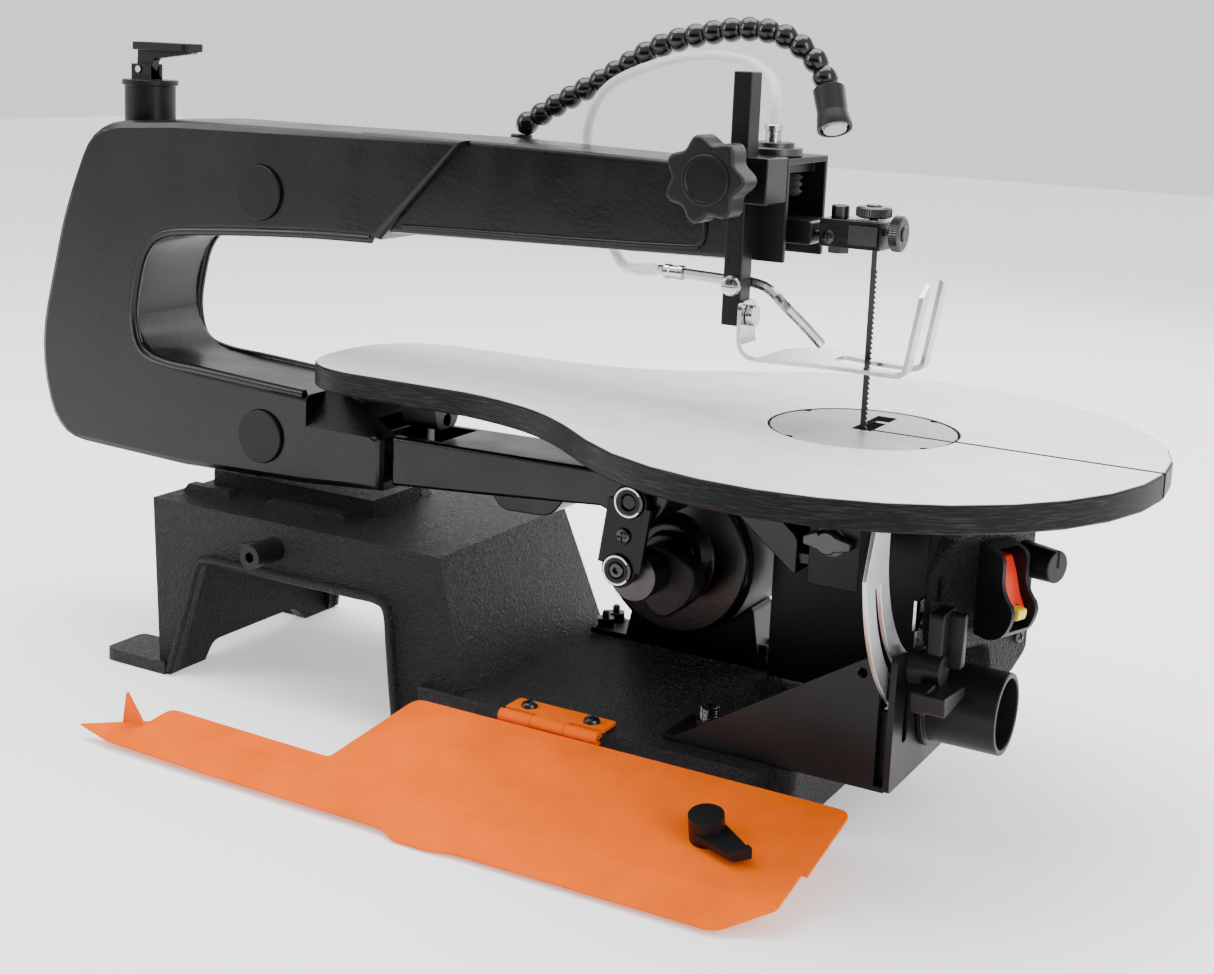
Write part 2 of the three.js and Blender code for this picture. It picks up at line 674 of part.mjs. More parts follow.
/** One stretch of the neck: round beads along the path, joined at narrow waists. */
function neckStretch(first, last) {
  const beads = [];
  for (let i = first; i < last; i += 1) {
    const from = neckPath.getPointAt(i / neckBeads);
    const to = neckPath.getPointAt((i + 1) / neckBeads);
    const length = from.distanceTo(to);
    const lip = i === last - 1 ? 0.8 : -0.4;
    const profile = [
      [0, 0], [4.6, 0], [6.2, length * 0.3], [6.1, length * 0.65], [4.4, length - lip],
      [0, length - lip],
    ].map((p) => new THREE.Vector2(...p));
    const bead = new THREE.LatheGeometry(profile, 12);
    const turn = new THREE.Quaternion().setFromUnitVectors(
      new THREE.Vector3(0, 1, 0), to.clone().sub(from).normalize(),
    );
    bead.applyQuaternion(turn).translate(from.x, from.y, from.z);
    beads.push(bead);
  }
  return join(...beads);
}

function makeLamp() {
  const side = frameHalf + GAP;
  add('lamp_base', join(
    box(-232, -204, side, side + 5, 276, 301),
    box(-228, -208, side, side + 11, 290, 301),
    bar('z', [-219, neckPlane + 3], 299, 303, 6, 6, 16),
  ), satinBlack());
  add('lamp_neck_lower', neckStretch(0, 10), glossBlack());
  add('lamp_neck_upper', neckStretch(10, neckBeads), glossBlack());
  const end = neckPath.getPointAt(1);
  const turn = new THREE.Quaternion().setFromUnitVectors(new THREE.Vector3(0, 1, 0), headAim);
  const head = cut(
    solid(new THREE.CylinderGeometry(7.2, 7.9, 19, 24).translate(0, 9.5 + GAP, 0)),
    new THREE.CylinderGeometry(6.2, 6.2, 5, 24).translate(0, 18.5 + GAP, 0),
    new THREE.SphereGeometry(6, 24, 16), // the socket that cups the last bead
  );
  const place = (geometry) => geometry.applyQuaternion(turn).translate(end.x, end.y, end.z);
  add('lamp_head', place(toGeometry(head)), satinBlack());
  add('lamp_lens', place(new THREE.CylinderGeometry(5.6, 5.9, 6, 24).translate(0, 19.6, 0)),
    paint(0xdfe6f5, 0.1, 0));
}

// ---- Table ------------------------------------------------------------------------------------

/** The table's plan: a round front that narrows in a smooth curve to a straight neck. */
function tablePlan() {
  const start = THREE.MathUtils.degToRad(130.5);
  const shape = new THREE.Shape();
  const rim = (angle) => [tableRadius * Math.cos(angle), tableRadius * Math.sin(angle)];
  shape.moveTo(...rim(-start));
  shape.absarc(0, 0, tableRadius, -start, start, false);
  shape.bezierCurveTo(-125, 77, -140, 62, -190, tableNeck + 1);
  shape.lineTo(-262, tableNeck);
  shape.bezierCurveTo(-292, tableNeck - 2, tableRear, 34, tableRear, 0);
  shape.bezierCurveTo(tableRear, -34, -292, -tableNeck + 2, -262, -tableNeck);
  shape.lineTo(-190, -tableNeck - 1);
  shape.bezierCurveTo(-140, -62, -125, -77, ...rim(-start));
  return shape;
}

function makeTable() {
  const top = extrude(tablePlan(), 'z', tableTop - tableThickness, tableTop, 1, 12);
  const hole = bar('z', [0, 0], 150, 200, 30, 30, 36);
  const seat = bar('z', [0, 0], tableTop - 3, 200, tableHoleRadius, tableHoleRadius, 36);
  const threadingSlot = box(0, tableRadius + 5, -1.2, 1.2, 150, 200);
  add('table', cut(solid(top), hole, seat, threadingSlot), brushedSteel());
  const insert = cut(
    solid(bar('z', [0, 0], tableTop - 3 + GAP, tableTop - 0.4, insertRadius, insertRadius, 36)),
    box(-2, insertRadius + 5, -1.2, 1.2, 150, 200),
    box(-5, 5, -3, 33, 150, 200),
    ...[60, 150, 240, 330].map((degrees) => {
      const angle = THREE.MathUtils.degToRad(degrees);
      return bar('z', [44 * Math.cos(angle), 44 * Math.sin(angle)], 150, 200, 2.4, 2.4, 10);
    }),
  );
  add('table_insert', insert, paint(0x8d8f92, 0.5, 0.6));
}

/** The curved bevel scale under the table's front, and the block under its rear. */
function makeTrunnions() {
  const centre = tiltHeight;
  const under = tableTop - tableThickness - GAP;
  const shape = new THREE.Shape();
  const outer = 98;
  const inner = 72;
  const from = THREE.MathUtils.degToRad(-172);
  const to = THREE.MathUtils.degToRad(-78);
  shape.absarc(0, centre, outer, from, to, false);
  shape.absarc(0, centre, inner, to, from, true);
  shape.lineTo(-inner, under);
  shape.lineTo(-outer + 12, under);
  shape.closePath();
  const slot = new THREE.Shape();
  const slotFrom = THREE.MathUtils.degToRad(-167);
  const slotTo = THREE.MathUtils.degToRad(-104);
  slot.absarc(0, centre, 88, slotFrom, slotTo, false);
  slot.absarc(0, centre, 82, slotTo, slotFrom, true);
  slot.closePath();
  const plate = cut(
    solid(extrude(shape, 'x', 40.4, 42.5, 0, 14)).add(solid(box(26, 42.5, -86, -60, under - 4, under))),
    extrude(slot, 'x', 30, 60, 0, 12),
  );
  add('bevel_scale', plate, brightSteel());
  const block = solid(extrude(outline([
    [-16, under], [-9, tiltHeight - 5, 5], [9, tiltHeight - 5, 5], [16, under],
  ]), 'x', -258, -236));
  add('rear_trunnion', cut(block, bar('x', [0, tiltHeight], -260, -200, 3.3, 3.3, 12)), satinBlack());
}

/** The bracket that carries the front trunnion: a gusset on the deck and an upright plate. */
function makeTrunnionBracket() {
  const gussetY = -63;
  const rearWall = 48;
  const gusset = cut(
    solid(extrude(outline([
      [-64, deckTop + GAP], [39.5, deckTop + GAP], [39.5, 93], [34, 92, 3],
    ]), 'y', gussetY, gussetY + 2.5)),
    bar('y', [31, 84], -80, -50, 2.5, 2.5, 12),
  );
  const upright = cut(
    solid(extrude(outline([
      [gussetY, deckTop + GAP, 2], [12, deckTop + GAP, 2], [12, 79, 4], [gussetY, 94, 3],
    ]), 'x', 44, 47)),
    bar('x', [-12, 60], 30, 60, 16.5, 16.5, 24),
  );
  const foot = join(
    box(-66, 44.5, gussetY, gussetY + 30, deckTop + GAP, deckTop + 2.8),
    box(-30, 10, gussetY, rearWall, deckTop + GAP, deckTop + 2.8),
  );
  const wall = extrude(outline([
    [-61, deckTop + GAP], [22, deckTop + GAP], [22, 158, 4], [-61, 158, 6],
  ]), 'y', rearWall - 2.5, rearWall);
  const slot = extrude(outline([[-50, 50, 2], [-44, 50, 2], [-44, 88, 2], [-50, 88, 2]]), 'x', 40, 50);
  add('trunnion_bracket', cut(gusset.add(upright).add(foot).add(solid(wall)), slot), satinBlack());
}

function makeLockLever() {
  const y = -45;
  const z = 86;
  const lever = join(
    bar('x', [y, z], 47.4, 62, 8, 7, 20),
    extrude(outline([
      [y - 2, z - 4], [y - 1, z + 26, 3], [y + 16, z + 26, 3], [y + 14, z + 2, 4], [y + 9, z - 14, 3],
      [y - 18, z - 16, 3], [y - 20, z - 5, 2],
    ]), 'x', 54, 61, 1),
    extrude(outline([
      [y - 20, z - 5, 2], [y + 9, z - 8, 2], [y + 9, z - 13, 2], [y - 18, z - 15, 2],
    ]), 'x', 56, 70, 1),
    extrude(outline([
      [y + 6, z], [y + 8, z + 25, 2], [y + 12, z + 25, 2], [y + 12, z],
    ]), 'x', 56, 68, 1),
  );
  add('lock_lever', lever, satinBlack());
}

function makeDustPort() {
  const y = -12;
  const z = 60;
  const port = cut(
    join(bar('x', [y, z], 48, 83, 19.2, 19.2, 32), bar('x', [y, z], 47 + GAP, 50, 22, 22, 32)),
    bar('x', [y, z], 40, 100, 16.6, 16.6, 32),
  );
  add('dust_port', port, satinBlack());
}

// ---- Switch box ------------------------------------------------------------------------------

const panelAngle = THREE.MathUtils.degToRad(20);
const panel = new THREE.Group(); // its X runs out of the panel and its Y along it
panel.position.set(50, -36, 0);
panel.rotation.z = -panelAngle;
saw.add(panel);

/** Express a geometry that was drawn in the saw's frame in the panel's own frame. */
function intoPanel(geometry) {
  return geometry.translate(-panel.position.x, -panel.position.y, 0).rotateZ(panelAngle);
}

function makeSwitchBox() {
  const body = cut(
    solid(extrude(outline([
      [0, 96, 4], [10, 86, 4], [46, 84, 4], [50, 66, 4], [66, 65, 4], [78, 76, 4],
      [78, 139, 4], [14, 139, 6], [0, 124, 4],
    ]), 'x', -34, 0, 1.5)),
    intoPanel(box(0, 47 + GAP, -100, 200, 0, 200)),
    extrude(outline([[6, 112, 2], [10, 112, 2], [10, 124, 2], [6, 124, 2]]), 'x', -30, 10),
    extrude(outline([[35, 96], [53, 96], [53, 130], [35, 130]]), 'x', -12, 10),
    bar('x', [66, 124], -12, 10, 3.4, 3.4, 12),
  );
  add('switch_box', body, crinkleBlack(), panel);
}

function makeSwitch() {
  const profile = outline([
    [0.3, 92, 1], [3, 92], [6, 91, 3], [17, 93, 8], [22, 108, 5], [17, 112, 4], [14, 118, 4],
    [14, 132, 4], [3, 136], [0.3, 136, 1],
  ]);
  const guard = cut(
    solid(extrude(profile, 'y', 34, 54)),
    extrude(outline([[-2, 97], [30, 97], [30, 140], [-2, 131]]), 'y', 36.5, 51.5),
  );
  add('switch_guard', guard, satinBlack(), panel);
  const paddle = cut(
    solid(extrude(outline([
      [-8, 100, 1], [6, 100, 1], [16, 104, 2], [12, 112, 2], [9, 122, 2], [6, 129, 1], [-8, 129, 1],
    ]), 'y', 37, 51)),
    box(8, 30, 40.5, 47.5, 101, 108),
  );
  add('switch_paddle', paddle, paint(0xe03020, 0.35, 0), panel);
  add('safety_key', extrude(outline([
    [8.4, 101.6], [19, 101.6, 2], [20, 107.4, 2], [8.4, 107.4],
  ]), 'y', 41, 47), paint(0xf2e21c, 0.35, 0), panel);
}

function makeSpeedKnob() {
  const knob = join(
    bar('x', [66, 124], 1, 21, 8.6, 7.8, 24),
    bar('x', [66, 124], -10, 2, 3, 3, 12),
  );
  const mark = box(19.8, 30, 65.4, 66.6, 124, 133);
  add('speed_knob', cut(knob, mark), satinBlack(), panel);
}

function makeCordGland() {
  add('cord_gland', join(
    bar('y', [-16, 100], 78 + GAP, 81, 8, 8, 16),
    bar('y', [-16, 100], 80, 88, 6, 4.5, 16),
  ), satinBlack(), panel);
}

// ---- Side cover, its hinge and its latch --------------------------------------------------------

const cover = new THREE.Group(); // -Y runs out from the hinge line over the open cover
cover.position.set(0, hinge.y, hinge.z);
cover.rotation.x = coverSag;
saw.add(cover);

function makeCover() {
  const bend = 77;
  const face = -0.4; // the plate's upper face, just below the hinge line
  const panelShape = outline([
    [-194, -4.6, 6], [38, -4.6, 6], [38, -53.5], [35.4, -53.5], [35.4, -bend],
    [-306, -bend], [-304, -63, 5], [-203, -65, 2],
  ]);
  const flat = solid(extrude(panelShape, 'z', face - sheet, face));
  const lip = extrude(outline([
    [35.4, 0], [34.6, -2.5, 1], [15, -20.2, 5], [-112, -21.4, 3], [-124, -23.8, 3], [-143, -23.8, 2],
    [-152, -19.6, 3], [-256, -19.2], [-320, -17.6], [-342, -13], [-323, -6], [-306, 0],
  ]), 'z', -sheet, 0);
  lip.rotateX(THREE.MathUtils.degToRad(15)).translate(0, -bend + 0.6, face);
  const tab = extrude(outline([[-322, -4.5], [-307, -1.5], [-315, 16, 1]]), 'y', -bend - 3, -bend - 1.5);
  const plate = flat.add(solid(lip)).add(solid(tab));
  add('side_cover', cut(plate, bar('z', [-11, -48], -20, 20, 4 + GAP)), orangePaint(), cover);
}

function makeHinge() {
  const { from, to } = hinge;
  const knuckle = (a, b) => [
    bar('x', [0, 0], a, b, 3.2, 3.2, 16),
    box(a, b, -5, 0, -3.2, -2.2),
  ];
  const third = (to - from) / 3;
  const pinHole = bar('x', [0, 0], from - 5, to + 5, 1.6, 1.6, 12);
  const leaf = join(
    extrude(outline([
      [from, -4.5], [to, -4.5], [to - 2, -20, 2], [from + 2, -20, 2],
    ]), 'z', -3.7, -2.2),
    ...knuckle(from, from + third - GAP), ...knuckle(to - third + GAP, to),
  );
  add('cover_leaf', cut(leaf, pinHole), orangePaint(), cover);
  const y = hinge.y;
  const z = hinge.z;
  const fixed = join(
    extrude(outline([
      [from, y + 4.4], [to, y + 4.4], [to, y + 18, 2], [from, y + 18, 2],
    ]), 'z', deckTop + GAP, deckTop + 1.8),
    bar('x', [y, z], from + third, to - third, 3.2, 3.2, 16),
    box(from + third, to - third, y, y + 5, z + 1.3, z + 2.8),
  );
  add('hinge_leaf', cut(fixed, bar('x', [y, z], from - 5, to + 5, 1.6, 1.6, 12)), orangePaint());
  add('hinge_pin', bar('x', [y, z], from - 1, to + 1, 1.3, 1.3, 12), brightSteel());
}

function makeLatch() {
  const at = [-11, -48];
  const latch = join(
    bar('z', at, -13, 11, 3.5, 3.5, 16),
    bar('z', at, -0.4 + GAP, 12, 8, 8, 24),
    extrude(outline([
      [-14, -55.4], [8, -63, 2], [15, -57, 1.5], [7, -51, 2], [-5, -43],
    ]), 'z', 3, 6),
    extrude(outline([
      [6.6, -62.6], [8, -63, 0.4], [15, -57, 1], [12, -55, 0.4], [11, -56.2],
    ]), 'z', 5, 8),
    extrude(outline([[-18, -46], [-21.6, -39.6, 1], [-17, -36.6, 1], [-11, -43]]), 'z', 3, 6),
    bar('z', at, -13, -2.4, 9, 9, 20),
  );
  add('cover_latch', latch, satinBlack(), cover);
}

// ---- Assembly ------------------------------------------------------------------------------------

makeBase();
makeSidePost();
makeFrame();
makePivots();
makeNose();
makeAirPump();
makeAirHose();
makeUpperRocker();
makeLowerRocker();
makeRearLink();
makeDrive();
makeCounterweight();
makeMotor();
makeTension();
makeBladeSet();
makeThumbscrews();
makeWingNut();
makeRodClamp();
makeFootRod();
makeRodKnob();
makeDropFoot();
makeBlowerTube();
makeLamp();
makeTable();
makeTrunnions();
makeTrunnionBracket();
makeLockLever();
makeDustPort();
makeSwitchBox();
makeSwitch();
makeSpeedKnob();
makeCordGland();
makeCover();
makeHinge();
makeLatch();

const bounds = new THREE.Box3().setFromObject(saw, true);
const centre = bounds.getCenter(new THREE.Vector3());
saw.position.set(-centre.x, -centre.y, -bounds.min.z);
saw.updateMatrixWorld(true);

export default saw;
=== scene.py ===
"""Scroll saw: looks, small hardware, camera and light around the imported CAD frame.

Lengths in this script are millimetres in the saw's own measure: x = 0, y = 0 is the blade line and
z = 0 the bench. `at` turns them into the frame's metres.
"""
import json
import math

import bmesh
import bpy
from mathutils import Matrix, Quaternion, Vector


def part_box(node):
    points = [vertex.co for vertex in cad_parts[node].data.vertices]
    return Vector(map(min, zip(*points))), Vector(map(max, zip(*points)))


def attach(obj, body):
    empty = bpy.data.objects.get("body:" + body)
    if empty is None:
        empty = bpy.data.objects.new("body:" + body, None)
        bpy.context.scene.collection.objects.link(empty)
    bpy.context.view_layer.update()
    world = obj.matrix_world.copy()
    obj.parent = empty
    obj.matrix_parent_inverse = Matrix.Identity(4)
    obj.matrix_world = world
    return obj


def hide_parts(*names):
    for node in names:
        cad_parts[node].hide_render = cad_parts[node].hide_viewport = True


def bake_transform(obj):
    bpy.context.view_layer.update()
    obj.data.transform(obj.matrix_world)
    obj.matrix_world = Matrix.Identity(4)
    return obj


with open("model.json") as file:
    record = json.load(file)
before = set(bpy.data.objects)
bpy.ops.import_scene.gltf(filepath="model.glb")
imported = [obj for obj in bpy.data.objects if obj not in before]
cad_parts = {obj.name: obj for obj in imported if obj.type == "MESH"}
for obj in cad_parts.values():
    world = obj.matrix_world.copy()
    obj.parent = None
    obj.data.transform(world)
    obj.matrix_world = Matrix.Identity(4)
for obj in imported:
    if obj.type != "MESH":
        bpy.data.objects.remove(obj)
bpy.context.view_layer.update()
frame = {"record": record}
MM = 0.001


def blade_line():
    low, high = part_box("blade")
    return Vector(((low.x + high.x) / 2, (low.y + high.y) / 2, 0))


ORIGIN = blade_line()


def at(x, y, z):
    """A place in the saw's measure, as a point of the frame."""
    return ORIGIN + Vector((x, y, z)) * MM


def middle_near(node):
    """The middle of the near side, the -Y side, of a node's box."""
    low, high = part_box(node)
    return Vector(((low.x + high.x) / 2, low.y, (low.z + high.z) / 2))


# ---- Node helpers for materials ---------------------------------------------------------------


class Look:
    """A Principled material under construction."""

    def __init__(self, name, color, rough, metal=0.0, **sockets):
        self.material = bpy.data.materials.new(name)
        self.material.use_nodes = True
        self.nodes = self.material.node_tree.nodes
        self.links = self.material.node_tree.links
        self.shader = self.nodes["Principled BSDF"]
        self.place = self.nodes.new("ShaderNodeTexCoord").outputs["Object"]
        self.set("Base Color", (*color, 1))
        self.set("Roughness", rough)
        self.set("Metallic", metal)
        for socket, value in sockets.items():
            self.set(socket.replace("_", " "), value)

    def set(self, socket, value):
        self.shader.inputs[socket].default_value = value

    def link(self, source, target):
        self.links.new(source, target)

    def node(self, kind, **values):
        made = self.nodes.new(kind)
        for key, value in values.items():
            if key in made.inputs:
                made.inputs[key].default_value = value
            else:
                setattr(made, key, value)
        return made

    def noise(self, scale, detail=3.0, roughness=0.5, stretch=(1, 1, 1)):
        mapping = self.node("ShaderNodeMapping")
        mapping.inputs["Scale"].default_value = stretch
        self.link(self.place, mapping.inputs["Vector"])
        made = self.node("ShaderNodeTexNoise", Scale=scale, Detail=detail, Roughness=roughness)
        self.link(mapping.outputs[0], made.inputs["Vector"])
        return made.outputs[0]

    def ramp(self, source, low, high, at_low=0.3, at_high=0.7):
        made = self.node("ShaderNodeMapRange")
        made.inputs["From Min"].default_value = at_low
        made.inputs["From Max"].default_value = at_high
        made.inputs["To Min"].default_value = low
        made.inputs["To Max"].default_value = high
        self.link(source, made.inputs["Value"])
        return made.outputs[0]

    def mix(self, factor, first, second):
        made = self.node("ShaderNodeMix", data_type="RGBA")
        self.link(factor, made.inputs[0])
        for slot, value in ((6, first), (7, second)):
            if isinstance(value, tuple):
                made.inputs[slot].default_value = (*value, 1)
            else:
                self.link(value, made.inputs[slot])
        return made.outputs[2]

    def bump(self, height, strength, distance):
        made = self.node("ShaderNodeBump")
        made.inputs["Strength"].default_value = strength
        made.inputs["Distance"].default_value = distance
        self.link(height, made.inputs["Height"])
        self.link(made.outputs[0], self.shader.inputs["Normal"])


def paint(name, color, rough, vary=0.06, wave=0.0, **sockets):
    """Smooth paint: faint patches in its gloss, and a slight orange-peel surface."""
    look = Look(name, color, rough, **sockets)
    patches = look.noise(35, 4)
    look.link(look.ramp(patches, rough - vary, rough + vary), look.shader.inputs["Roughness"])
    darker = tuple(c * 0.82 for c in color)
    look.link(look.mix(look.ramp(patches, 0, 1), darker, color), look.shader.inputs["Base Color"])
    if wave:
        look.bump(look.noise(420, 2), wave, 0.0006)
    return look.material


def crinkle(name, color):
    """Coarse wrinkle finish: glossy grains, each with its own small highlight."""
    look = Look(name, color, 0.3, Specular_IOR_Level=0.24)
    grain = look.noise(520, 3, 0.6)
    fine = look.noise(1300, 2, 0.6)
    mixed = look.node("ShaderNodeMath", operation="ADD")
    look.link(grain, mixed.inputs[0])
    look.link(fine, mixed.inputs[1])
    look.link(look.ramp(grain, 0.45, 0.22), look.shader.inputs["Roughness"])
    lighter = tuple(c * 2.2 for c in color)
    look.link(look.mix(look.ramp(grain, 0, 1, 0.42, 0.62), color, lighter),
              look.shader.inputs["Base Color"])
    look.bump(mixed.outputs[0], 1.0, 0.0022)
    return look.material


def metal(name, color, rough, stretch=(1, 1, 1), brush=0.12, scale=500):
    """Bare or plated metal: a directional brush in its gloss and a little cloudiness."""
    look = Look(name, color, rough, 1.0)
    lines = look.noise(scale, 3, 0.6, stretch)
    look.link(look.ramp(lines, rough - 0.08, rough + 0.1), look.shader.inputs["Roughness"])
    clouds = look.noise(40, 3)
    darker = tuple(c * 0.8 for c in color)
    look.link(look.mix(look.ramp(clouds, 0, 1), darker, color), look.shader.inputs["Base Color"])
    look.bump(lines, brush, 0.0003)
    return look.material


def plastic(name, color, rough=0.42, grain=0.2, **sockets):
    """Moulded plastic: a fine spark-eroded grain."""
    look = Look(name, color, rough, **sockets)
    cells = look.noise(1400, 2)
    look.link(look.ramp(cells, rough - 0.05, rough + 0.07), look.shader.inputs["Roughness"])
    look.bump(cells, grain, 0.0003)
    return look.material


def ground_steel(name, dark, light):
    """Ground top of light steel; the walls and the underside are black."""
    look = Look(name, light, 0.42, 0.0)
    normal = look.node("ShaderNodeTexCoord").outputs["Normal"]  # turns with the table
    split = look.node("ShaderNodeSeparateXYZ")
    look.link(normal, split.inputs[0])
    upper = look.ramp(split.outputs["Z"], 0, 1, 0.75, 0.85)
    swirl = look.noise(26, 6, 0.65, (1, 3.5, 1))
    fine = look.noise(900, 3, 0.6, (1, 6, 1))
    ground = look.mix(look.ramp(swirl, 0, 1, 0.35, 0.65), dark, light)
    scratches = look.noise(300, 3, 0.6, (0.3, 0.3, 6))
    rim = look.mix(look.ramp(scratches, 0, 1, 0.5, 0.75), (0.004, 0.004, 0.0043),
                   (0.03, 0.03, 0.031))
    look.link(look.mix(upper, rim, ground), look.shader.inputs["Base Color"])
    look.link(look.ramp(upper, 0.42, 0.45, 0, 1), look.shader.inputs["Roughness"])
    look.link(look.ramp(upper, 0.12, 0.4, 0, 1), look.shader.inputs["Specular IOR Level"])
    look.link(look.ramp(upper, 0.0, 0.3, 0, 1), look.shader.inputs["Metallic"])
    look.bump(fine, 0.08, 0.0003)
    return look.material


def clear(name, color, alpha, rough):
    look = Look(name, color, rough, Alpha=alpha, IOR=1.45)
    haze = look.noise(60, 3)
    look.link(look.ramp(haze, rough, rough + 0.12), look.shader.inputs["Roughness"])
    look.material.surface_render_method = "BLENDED"
    return look.material


LOOKS = {
    "gloss_black": paint("gloss_black", (0.0035, 0.0035, 0.0037), 0.27, 0.06, 0.12,
                         Specular_IOR_Level=0.3),
    "crinkle_black": crinkle("crinkle_black", (0.0035, 0.0035, 0.0037)),
    "satin_black": paint("satin_black", (0.0045, 0.0045, 0.0047), 0.38, 0.05, 0.05,
                         Specular_IOR_Level=0.22),
    "black_plastic": plastic("black_plastic", (0.005, 0.005, 0.0052), 0.42, 0.14,
                             Specular_IOR_Level=0.25),
    "neck_plastic": plastic("neck_plastic", (0.004, 0.004, 0.0042), 0.15, 0.02,
                            Specular_IOR_Level=0.45),
    "cast_steel": paint("cast_steel", (0.008, 0.008, 0.0083), 0.42, 0.06, 0.2,
                        Specular_IOR_Level=0.25),
    "orange": paint("orange", (0.92, 0.135, 0.0), 0.55, 0.04, 0.04, Specular_IOR_Level=0.0),
    "zinc": metal("zinc", (0.6, 0.605, 0.61), 0.2, (4, 1, 1), 0.03, 300),
    "dark_steel": metal("dark_steel", (0.075, 0.075, 0.078), 0.34, (1, 1, 5)),
    "table_steel": ground_steel("table_steel", (0.66, 0.663, 0.668), (0.76, 0.763, 0.768)),
    "insert_grey": ground_steel("insert_grey", (0.30, 0.303, 0.306), (0.36, 0.363, 0.366)),
    "clear_vinyl": clear("clear_vinyl", (0.72, 0.75, 0.76), 0.4, 0.1),
    "rubber": plastic("rubber", (0.012, 0.012, 0.012), 0.6, 0.3, Specular_IOR_Level=0.25),
    "lens": clear("lens", (0.85, 0.88, 0.92), 0.6, 0.05),
    "motor_black": paint("motor_black", (0.003, 0.003, 0.0032), 0.5, 0.05, 0.05,
                         Specular_IOR_Level=0.12),
    "scale_plate": metal("scale_plate", (0.66, 0.665, 0.67), 0.4, (1, 1, 6), 0.02, 300),
    "red": plastic("red", (0.8, 0.03, 0.01), 0.32, 0.05),
    "yellow": plastic("yellow", (0.9, 0.72, 0.02), 0.32, 0.05),
}

# The finish that a node shows where it isn't its material slot's own.
FINISH = {
    "motor_can": "motor_black", "motor_end_bell": "gloss_black", "bevel_scale": "scale_plate",
    "link_bearing_upper": "dark_steel", "link_bearing_lower": "dark_steel",
    "motor_bracket": "satin_black", "thumbscrew_top": "dark_steel",
    "thumbscrew_front": "dark_steel", "upper_blade_clamp": "gloss_black",
    "drive_crank": "dark_steel", "wing_nut": "dark_steel",
}


# ---- Mesh helpers ------------------------------------------------------------------------------


def piece(name, mesh_maker, look, body, location=None, turn=None):
    """A new mesh object, smooth where its faces meet at a shallow angle, on a CAD body."""
    mesh = bpy.data.meshes.new(name)
    work = bmesh.new()
    mesh_maker(work)
    bmesh.ops.recalc_face_normals(work, faces=work.faces)
    work.to_mesh(mesh)
    work.free()
    obj = bpy.data.objects.new(name, mesh)
    bpy.context.scene.collection.objects.link(obj)
    soften(mesh)
    if turn is not None:
        obj.rotation_mode = "QUATERNION"
        obj.rotation_quaternion = turn
    if location is not None:
        obj.location = location
    mesh.materials.append(LOOKS[look])
    if body is not None:
        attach(obj, body)
    return obj


def soften(mesh, degrees=32):
    mesh.polygons.foreach_set("use_smooth", [True] * len(mesh.polygons))
    mesh.set_sharp_from_angle(angle=math.radians(degrees))
    mesh.update()


def spun(profile, sides=32):
    """A turned shape about +Z from (radius, height) points in mm, closed on the axis."""
    def make(work):
        rings = []
        for radius, height in profile:
            if radius < 1e-6:
                rings.append([work.verts.new((0, 0, height * MM))])
                continue
            rings.append([work.verts.new((
                radius * MM * math.cos(2 * math.pi * i / sides),
                radius * MM * math.sin(2 * math.pi * i / sides), height * MM))
                for i in range(sides)])
        for low, high in zip(rings, rings[1:]):
            for i in range(sides):
                j = (i + 1) % sides
                corners = [low[i % len(low)], low[j % len(low)], high[j % len(high)],
                           high[i % len(high)]]
                unique = list(dict.fromkeys(corners))
                if len(unique) > 2:
                    work.faces.new(unique)
    return make


def prism(points, low, high):
    """An upright slab with a polygon plan, in mm."""
    def make(work):
        for z in (low, high):
            for x, y in points:
                work.verts.new((x * MM, y * MM, z * MM))
        work.verts.ensure_lookup_table()
        count = len(points)
        work.faces.new([work.verts[i] for i in reversed(range(count))])
        work.faces.new([work.verts[count + i] for i in range(count)])
        for i in range(count):
            j = (i + 1) % count
            work.faces.new([work.verts[k] for k in (i, j, count + j, count + i)])
    return make


def several(*makers):
    """Several shapes as one mesh."""
    def make(work):
        for maker in makers:
            part = bmesh.new()
            maker(part)
            mesh = bpy.data.meshes.new("part")
            part.to_mesh(mesh)
            part.free()
            work.from_mesh(mesh)
            bpy.data.meshes.remove(mesh)
    return make


def polygon(radius, sides):
    return [(radius * math.cos(2 * math.pi * i / sides),
             radius * math.sin(2 * math.pi * i / sides)) for i in range(sides)]


def rectangle(half_x, half_y):
    return [(-half_x, -half_y), (half_x, -half_y), (half_x, half_y), (-half_x, half_y)]


def slab(x0, x1, y0, y1, low, high):
    """An upright box, in mm."""
    return prism([(x0, y0), (x1, y0), (x1, y1), (x0, y1)], low, high)


def facing(direction):
    """The turn that takes +Z to a direction."""
    return Vector((0, 0, 1)).rotation_difference(Vector(direction))


def smooth_route(points, steps=14):
    """A smooth curve through points: a uniform Catmull-Rom spline, densely sampled."""
    line = [Vector(p) for p in points]
    line = [2 * line[0] - line[1], *line, 2 * line[-1] - line[-2]]
    out = []
    for a, b, c, d in zip(line, line[1:], line[2:], line[3:]):
        for step in range(steps):
            t = step / steps
            out.append(0.5 * ((2 * b) + (c - a) * t + (2 * a - 5 * b + 4 * c - d) * t ** 2
                              + (3 * b - 3 * c + d - a) * t ** 3))
    out.append(line[-2])
    return out


